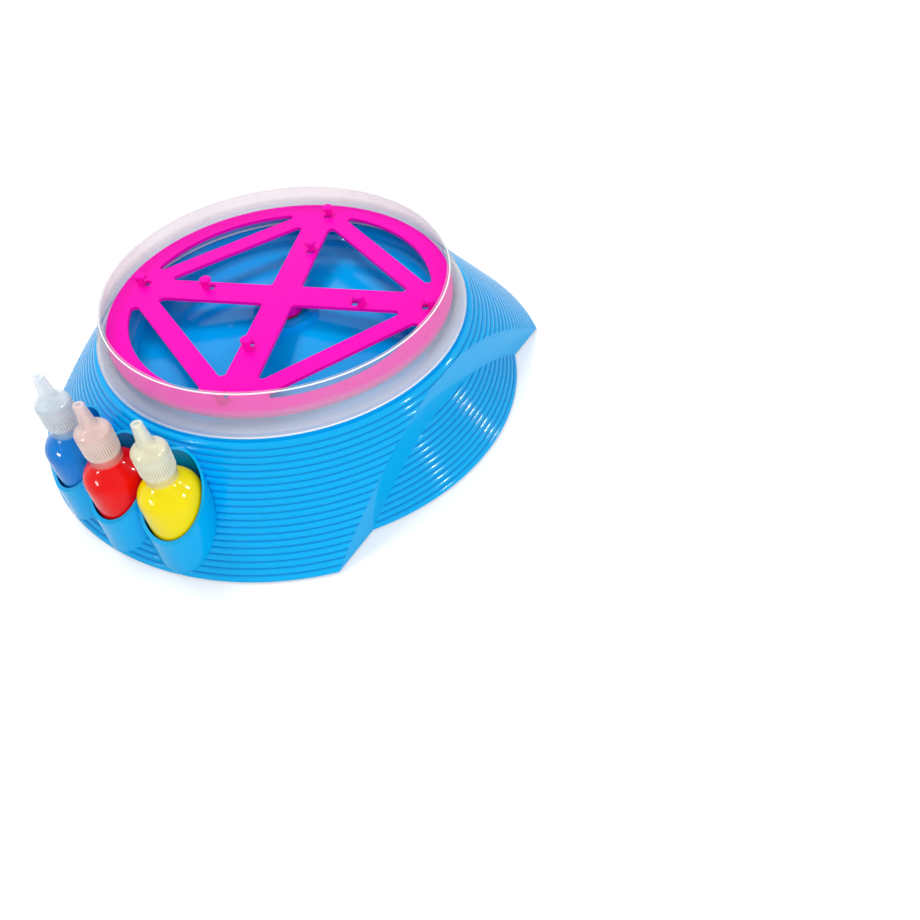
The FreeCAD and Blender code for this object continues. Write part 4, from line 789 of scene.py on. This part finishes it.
skirt_radius, rib_depth = 7.55 * MM, 0.25 * MM
skirt_top, skirt_fade = 61.0 * MM, 3.0 * MM
cap_haze = 0.48
cap_outline = (
    [(7.0, 51.0), (7.45, 51.0), (7.55, 51.2), (7.62, 52.4), (7.62, 52.6), (7.45, 52.8)]
    + [(7.72, 62.4)]
    + arc((7.9, 62.9), (7.9, 64.6), (6.9, 65.7), (5.6, 66.2), 7)
    + arc((5.2, 66.4), (4.2, 66.8), (3.75, 67.4), (3.55, 68.6), 5)
    + [(2.45, 77.9), (2.5, 78.2)]
    + arc((2.45, 78.6), (2.4, 79.1), (2.1, 79.3), (1.7, 79.3), 4)
    + [(1.1, 79.1), (1.1, 69.0), (2.4, 66.6), (4.6, 65.5), (6.2, 64.4), (6.9, 63.2), (7.0, 61.0)]
)
grip = Tree(
    "cap_ribs",
    Ribs="Int", Circle="Float", Flare="Float", Rib="Float", Length="Float", Foot="Float",
)
circle = grip.add(
    "GeometryNodeMeshCircle", values={"Vertices": grip.size("Ribs"), "Radius": grip.size("Circle")}
)
stick = grip.add(
    "GeometryNodeMeshCone",
    values={
        "Vertices": 8,
        "Radius Top": grip.size("Rib") * 0.4,
        "Radius Bottom": grip.size("Rib"),
        "Depth": grip.size("Length"),
    },
)
flare = grip.add(
    "ShaderNodeCombineXYZ", values={"X": grip.size("Flare"), "Y": grip.size("Flare")}
)
outward = grip.add(
    "ShaderNodeVectorMath",
    {"operation": "MULTIPLY_ADD"},
    {0: grip.add("GeometryNodeInputPosition"), 1: flare, 2: (0, 0, 1)},
)
tilt = grip.add("FunctionNodeAlignRotationToVector", {"axis": "Z"}, {"Vector": outward})
ribs = grip.add(
    "GeometryNodeInstanceOnPoints",
    values={
        "Points": grip.lift(circle, grip.size("Foot")),
        "Instance": stick,
        "Rotation": tilt,
    },
)
grip.close(grip.join(ribs, grip.size("Geometry")))


def clear_cap(name, tint, joint):
    """Clear polypropylene, whiter and less clear in its ribs, where it is thicker, with painted
    shade between the ribs.
    """
    finish = new_finish(name)
    place = finish.place()
    cloud = finish.noise(place, 60.0, 2.0)
    fine = finish.noise(place, 1800.0, 1.0)
    up, out = finish.from_axis(place, joint)
    skirt = 1 - ((up - skirt_top) / skirt_fade).clamped()
    thick = ((out - skirt_radius) / rib_depth).clamped() * skirt
    tone = finish.blend(cloud, tint, tuple(1 - (1 - part) * 0.6 for part in tint))
    # Painted shade: the skirt is darkened between its ribs.
    tone = finish.blend((1 - thick) * skirt * 0.22, tone, dimmed(tint, 0.55))
    return finish.plastic(
        Base_Color=finish.blend(thick * 0.6, tone, (1.0, 1.0, 0.98)),
        Roughness=fine * 0.05 + 0.1,
        Alpha=(cloud * 0.1 + (cap_haze - 0.05) + thick * 0.15).clamped(),
        Gloss=0.45,
        Normal=finish.bump(fine, 0.03, 0.3 * MM),
    )


for colour, tint in (
    ("blue", (0.80, 0.92, 1.0)),
    ("red", (1.0, 0.76, 0.70)),
    ("yellow", (1.0, 0.97, 0.70)),
):
    clear = clear_cap(f"cap_{colour}", tint, joints[f"cap_{colour}_twist"])
    mesh = grip.grow(
        f"cap_{colour}_skin",
        plain_mesh(f"cap_{colour}_body", turned(cap_outline, 88)),
        Ribs=44,
        Circle=7.45 * MM,
        Flare=4.0,
        Rib=0.34 * MM,
        Length=10.2 * MM,
        Foot=52.7 * MM,
        Finish=clear,
    )
    mesh.transform(cap_frame(colour))
    cap = f"cap_{colour}"
    mesh_piece(f"cap_{colour}_skin", mesh, cap, cap, clear, cap)

# ---- Bottom cover and battery door ----
# The housing's blue again, left a little duller by the mould. Six screws hold the cover, and the
# door over the cells swings down on two short pins at its rear edge.

cover_blue = moulded("cover_blue", (0.0, 0.40, 0.84), (0.0, 0.35, 0.78), 0.42, 0.2, 12.0, 1200.0)
skin_piece("bottom_cover", "cover_skin", "base", "cover_blue", cover_blue)
skin_piece("battery_door", "door_skin", "door", "cover_blue", cover_blue)

# ---- Screws ----
# Pan-headed steel screws with a cross in the head: six hold the cover, one the battery door, two
# the motor's bracket to the bowl and two the motor to the bracket.

head_radius, head_height, shank_radius, point_radius = 2.4, 1.4, 1.2, 0.7
thread_pitch, thread_depth = 0.9, 0.16
slot_width, slot_length, slot_depth = 0.62 * MM, 2.7 * MM, 0.85 * MM


def screw_outline(length):
    """Half of a screw's section, from the middle of its head up to its point."""
    core_radius = shank_radius - thread_depth
    outline = [(0, 0), (1.1, 0.04), (1.8, 0.26), (2.25, 0.62), (head_radius, 1.0)]
    outline += [(head_radius, head_height), (shank_radius, head_height)]
    height = head_height + thread_pitch
    while height < length - 1.5 * thread_pitch:
        outline += [
            (core_radius, height + 0.3 * thread_pitch),
            (shank_radius, height + 0.5 * thread_pitch),
            (core_radius, height + 0.7 * thread_pitch),
        ]
        height += thread_pitch
    return outline + [(core_radius, length - 0.5), (point_radius, length), (0, length)]


def solid_boxes(node):
    """The lowest and highest corner of each separate solid in a CAD node."""
    skin = joined_copy(node)
    left = set(skin.verts)
    boxes = []
    while left:
        reached = [left.pop()]
        for vert in reached:
            others = {link.other_vert(vert) for link in vert.link_edges} & left
            left -= others
            reached += others
        boxes.append(box_round([vert.co for vert in reached]))
    skin.free()
    return sorted(boxes, key=lambda box: tuple(box[0]))


cross = Tree(
    "cross_headed_screws",
    Blank="Object", Width="Float", Length="Float", Depth="Float", Facing="Vector",
)
deep = cross.size("Depth") * 2
slots = []
for along, across in (("Length", "Width"), ("Width", "Length")):
    edges = cross.add(
        "ShaderNodeCombineXYZ", values={"X": cross.size(along), "Y": cross.size(across), "Z": deep}
    )
    slots.append(cross.add("GeometryNodeMeshCube", values={"Size": edges}))
cut = cross.add(
    "GeometryNodeMeshBoolean",
    {"operation": "DIFFERENCE"},
    {"Mesh 1": cross.blank(), "Mesh 2": cross.join(*slots)},
)
turn = cross.add("FunctionNodeEulerToRotation", values={"Euler": cross.size("Facing")})
cross.close(
    cross.add(
        "GeometryNodeInstanceOnPoints",
        values={"Points": cross.size("Geometry"), "Instance": cut, "Rotation": turn},
    )
)


def metal(name, colour, dull, roughness, grain=(300.0, 300.0, 300.0)):
    """Bare or plated metal, with a drawn or tumbled grain."""
    finish = new_finish(name)
    place = finish.place()
    drawn = finish.add("ShaderNodeMapping", values={"Vector": place, "Scale": grain})
    streak = finish.noise(drawn, 4.0, 3.0)
    stain = finish.noise(place, 60.0, 3.0)
    return finish.plastic(
        Base_Color=finish.blend(stain, dull, colour),
        Roughness=streak * 0.2 + (roughness - 0.1),
        Metallic=1.0,
        Normal=finish.bump(streak, 0.1, 0.2 * MM),
    )


screw_steel = metal("screw_steel", (0.62, 0.62, 0.60), (0.45, 0.45, 0.44), 0.34)
for node, body, head_down in (
    ("cover_screws", "base", True),
    ("door_screw", "door", True),
    ("bracket_screws", "base", True),
    ("motor_screws", "base", False),
):
    solids = solid_boxes(node)
    length = (solids[0][1] - solids[0][0]).z / MM
    mesh = cross.repeat(
        node + "_set",
        [(*((low + high) / 2).xy, low.z if head_down else high.z) for low, high in solids],
        turned(screw_outline(length), 40),
        Width=slot_width,
        Length=slot_length,
        Depth=slot_depth,
        Facing=(0.0 if head_down else math.pi, 0.0, 0.0),
        Finish=screw_steel,
    )
    mesh_piece(node + "_set", mesh, body, "screw_steel", screw_steel, node)

# ---- Rubber feet ----
# Four soft black feet with rings moulded into their soles. They are pressed into recesses in the
# bottom cover.

foot_radius, foot_height = 7.0, 2.1
sole_outline = [
    (0, 0.25), (1.4, 0.25), (1.6, 0.0), (2.6, 0.0), (2.8, 0.3), (3.6, 0.3), (3.8, 0.0),
    (4.8, 0.0), (5.0, 0.3), (5.7, 0.3), (5.9, 0.0), (6.5, 0.0), (6.9, 0.2),
    (foot_radius, 0.6), (foot_radius, foot_height), (0, foot_height),
]
foot_nodes = [f"rubber_foot_{number}" for number in (1, 2, 3, 4)]
foot_places = [(*(sum(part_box(node), Vector()) / 2).xy, 0) for node in foot_nodes]
rubber = moulded("rubber", (0.035, 0.035, 0.038), (0.022, 0.022, 0.024), 0.75, 0.4, 30.0, 1600.0)
feet = copies.repeat("feet_set", foot_places, turned(sole_outline, 64), Finish=rubber)
mesh_piece("feet_set", feet, "base", "rubber", rubber, *foot_nodes)

# ---- Power button and switch ----
# A magenta push button in the flat side, moulded in one with its flange. Its plunger presses a
# latching switch in a black case behind it.

button_magenta = moulded(
    "button_magenta", (0.97, 0.004, 0.53), (0.92, 0.002, 0.47), roughness=0.3, gloss=0.2
)
skin_piece("power_button", "button_skin", "button", "button_magenta", button_magenta)
dress(moulded("switch_black", (0.03, 0.03, 0.032), (0.02, 0.02, 0.02), 0.4, 0.4), "push_switch")
dress(
    moulded("plunger_white", (0.82, 0.82, 0.80), (0.74, 0.74, 0.72), 0.35, 0.4), "switch_plunger"
)

# ---- Spindle plug ----
# A crimson acetal plug with two flats that carries the turntable on the motor's shaft. Its collar
# keeps paint out of the bearing below.

plug_acetal = moulded("plug_acetal", (0.45, 0.006, 0.05), (0.36, 0.004, 0.04), 0.35, 0.3, 40.0)
skin_piece("spindle_plug", "plug_skin", "rotor", "plug_acetal", plug_acetal)

# ---- Motor and its bracket ----
# A small can motor, deep-drawn in plated steel, hangs from a bent steel bracket under the bowl.
# Inside are a ring of ferrite and the wound armature on the shaft.

lamination = 0.5 * MM


def wound(name, copper, steel):
    """Copper wire in the slots of a stack of steel sheets."""
    finish = new_finish(name)
    place = finish.place()
    sheets = (finish.axes(place)[2] / lamination).fraction()
    windings = (finish.noise(place, 180.0) - 0.45) * 8
    return finish.plastic(
        Base_Color=finish.blend(windings.clamped(), steel, copper),
        Roughness=sheets * 0.15 + 0.3,
        Metallic=1.0,
        Normal=finish.bump(sheets, 0.3, 0.2 * MM),
    )


dress(
    metal("motor_steel", (0.60, 0.60, 0.59), (0.48, 0.48, 0.48), 0.36, (40, 40, 900)), "motor_can"
)
dress(
    metal("steel_sheet", (0.56, 0.57, 0.58), (0.42, 0.43, 0.45), 0.42, (60, 700, 60)),
    "motor_bracket",
)
dress(
    metal("shaft_steel", (0.66, 0.66, 0.65), (0.55, 0.55, 0.55), 0.2, (200, 200, 40)),
    "motor_shaft",
)
dress(metal("brass", (0.72, 0.50, 0.20), (0.55, 0.36, 0.13), 0.3), "motor_bearing")
dress(
    moulded("end_cap_nylon", (0.80, 0.79, 0.74), (0.7, 0.69, 0.64), 0.45, 0.4, 30.0),
    "motor_end_cap",
)
dress(moulded("ferrite", (0.06, 0.058, 0.06), (0.04, 0.04, 0.042), 0.6, 0.3, 60.0), "motor_magnet")
dress(wound("armature", (0.72, 0.32, 0.16), (0.42, 0.42, 0.42)), "motor_armature")

# ---- Battery cells and contacts ----
# Four AA cells lie side by side, head to tail, in a plain two-coloured jacket over a steel can.
# Nickel-plated strips and leaf springs join them.

jacket_inset, band_length = 1.6 * MM, 14 * MM
can_steel, jacket_black, band_copper = (0.62, 0.62, 0.60), (0.03, 0.032, 0.036), (0.72, 0.36, 0.10)


def jacketed(name, low, high, cap_at_high):
    """A printed sleeve that stops short of the can's ends, with a band round the cap's end."""
    finish = new_finish(name)
    place = finish.place()
    x = finish.axes(place)[0]
    fine = finish.noise(place, 900.0)
    worn = finish.noise(place, 90.0, 3.0)
    band = x.above(high - band_length) if cap_at_high else x.below(low + band_length)
    sleeve = x.above(low + jacket_inset) * x.below(high - jacket_inset)
    printed = finish.blend(band, jacket_black, band_copper)
    return finish.plastic(
        Base_Color=finish.blend(sleeve, can_steel, printed),
        Roughness=fine * 0.05 + worn * 0.1 + 0.22,
        Metallic=1 - sleeve * 0.6,
        Gloss=0.4,
        Normal=finish.bump(worn + fine * 0.2, 0.05, 0.3 * MM),
    )


for number in (1, 2, 3, 4):
    low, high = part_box(f"battery_{number}")
    cap_at_high = number % 2 == 1
    dress(jacketed(f"cell_jacket_{number}", low.x, high.x, cap_at_high), f"battery_{number}")
dress(
    metal("contact_nickel", (0.68, 0.66, 0.60), (0.55, 0.53, 0.48), 0.26, (80, 80, 500)),
    "battery_contact_plates", "battery_contact_leaves",
)

# ---- Leads ----
# Thin stranded leads in soft coloured insulation. Two red ones go by way of the switch to the
# motor, and a black one comes back to the cells.

dress(
    moulded("lead_red", (0.62, 0.01, 0.012), (0.5, 0.008, 0.01), 0.36, 0.4, 90.0),
    "lead_battery_switch", "lead_switch_motor",
)
dress(
    moulded("lead_black", (0.02, 0.02, 0.022), (0.012, 0.012, 0.012), 0.36, 0.4, 90.0),
    "lead_battery_motor",
)
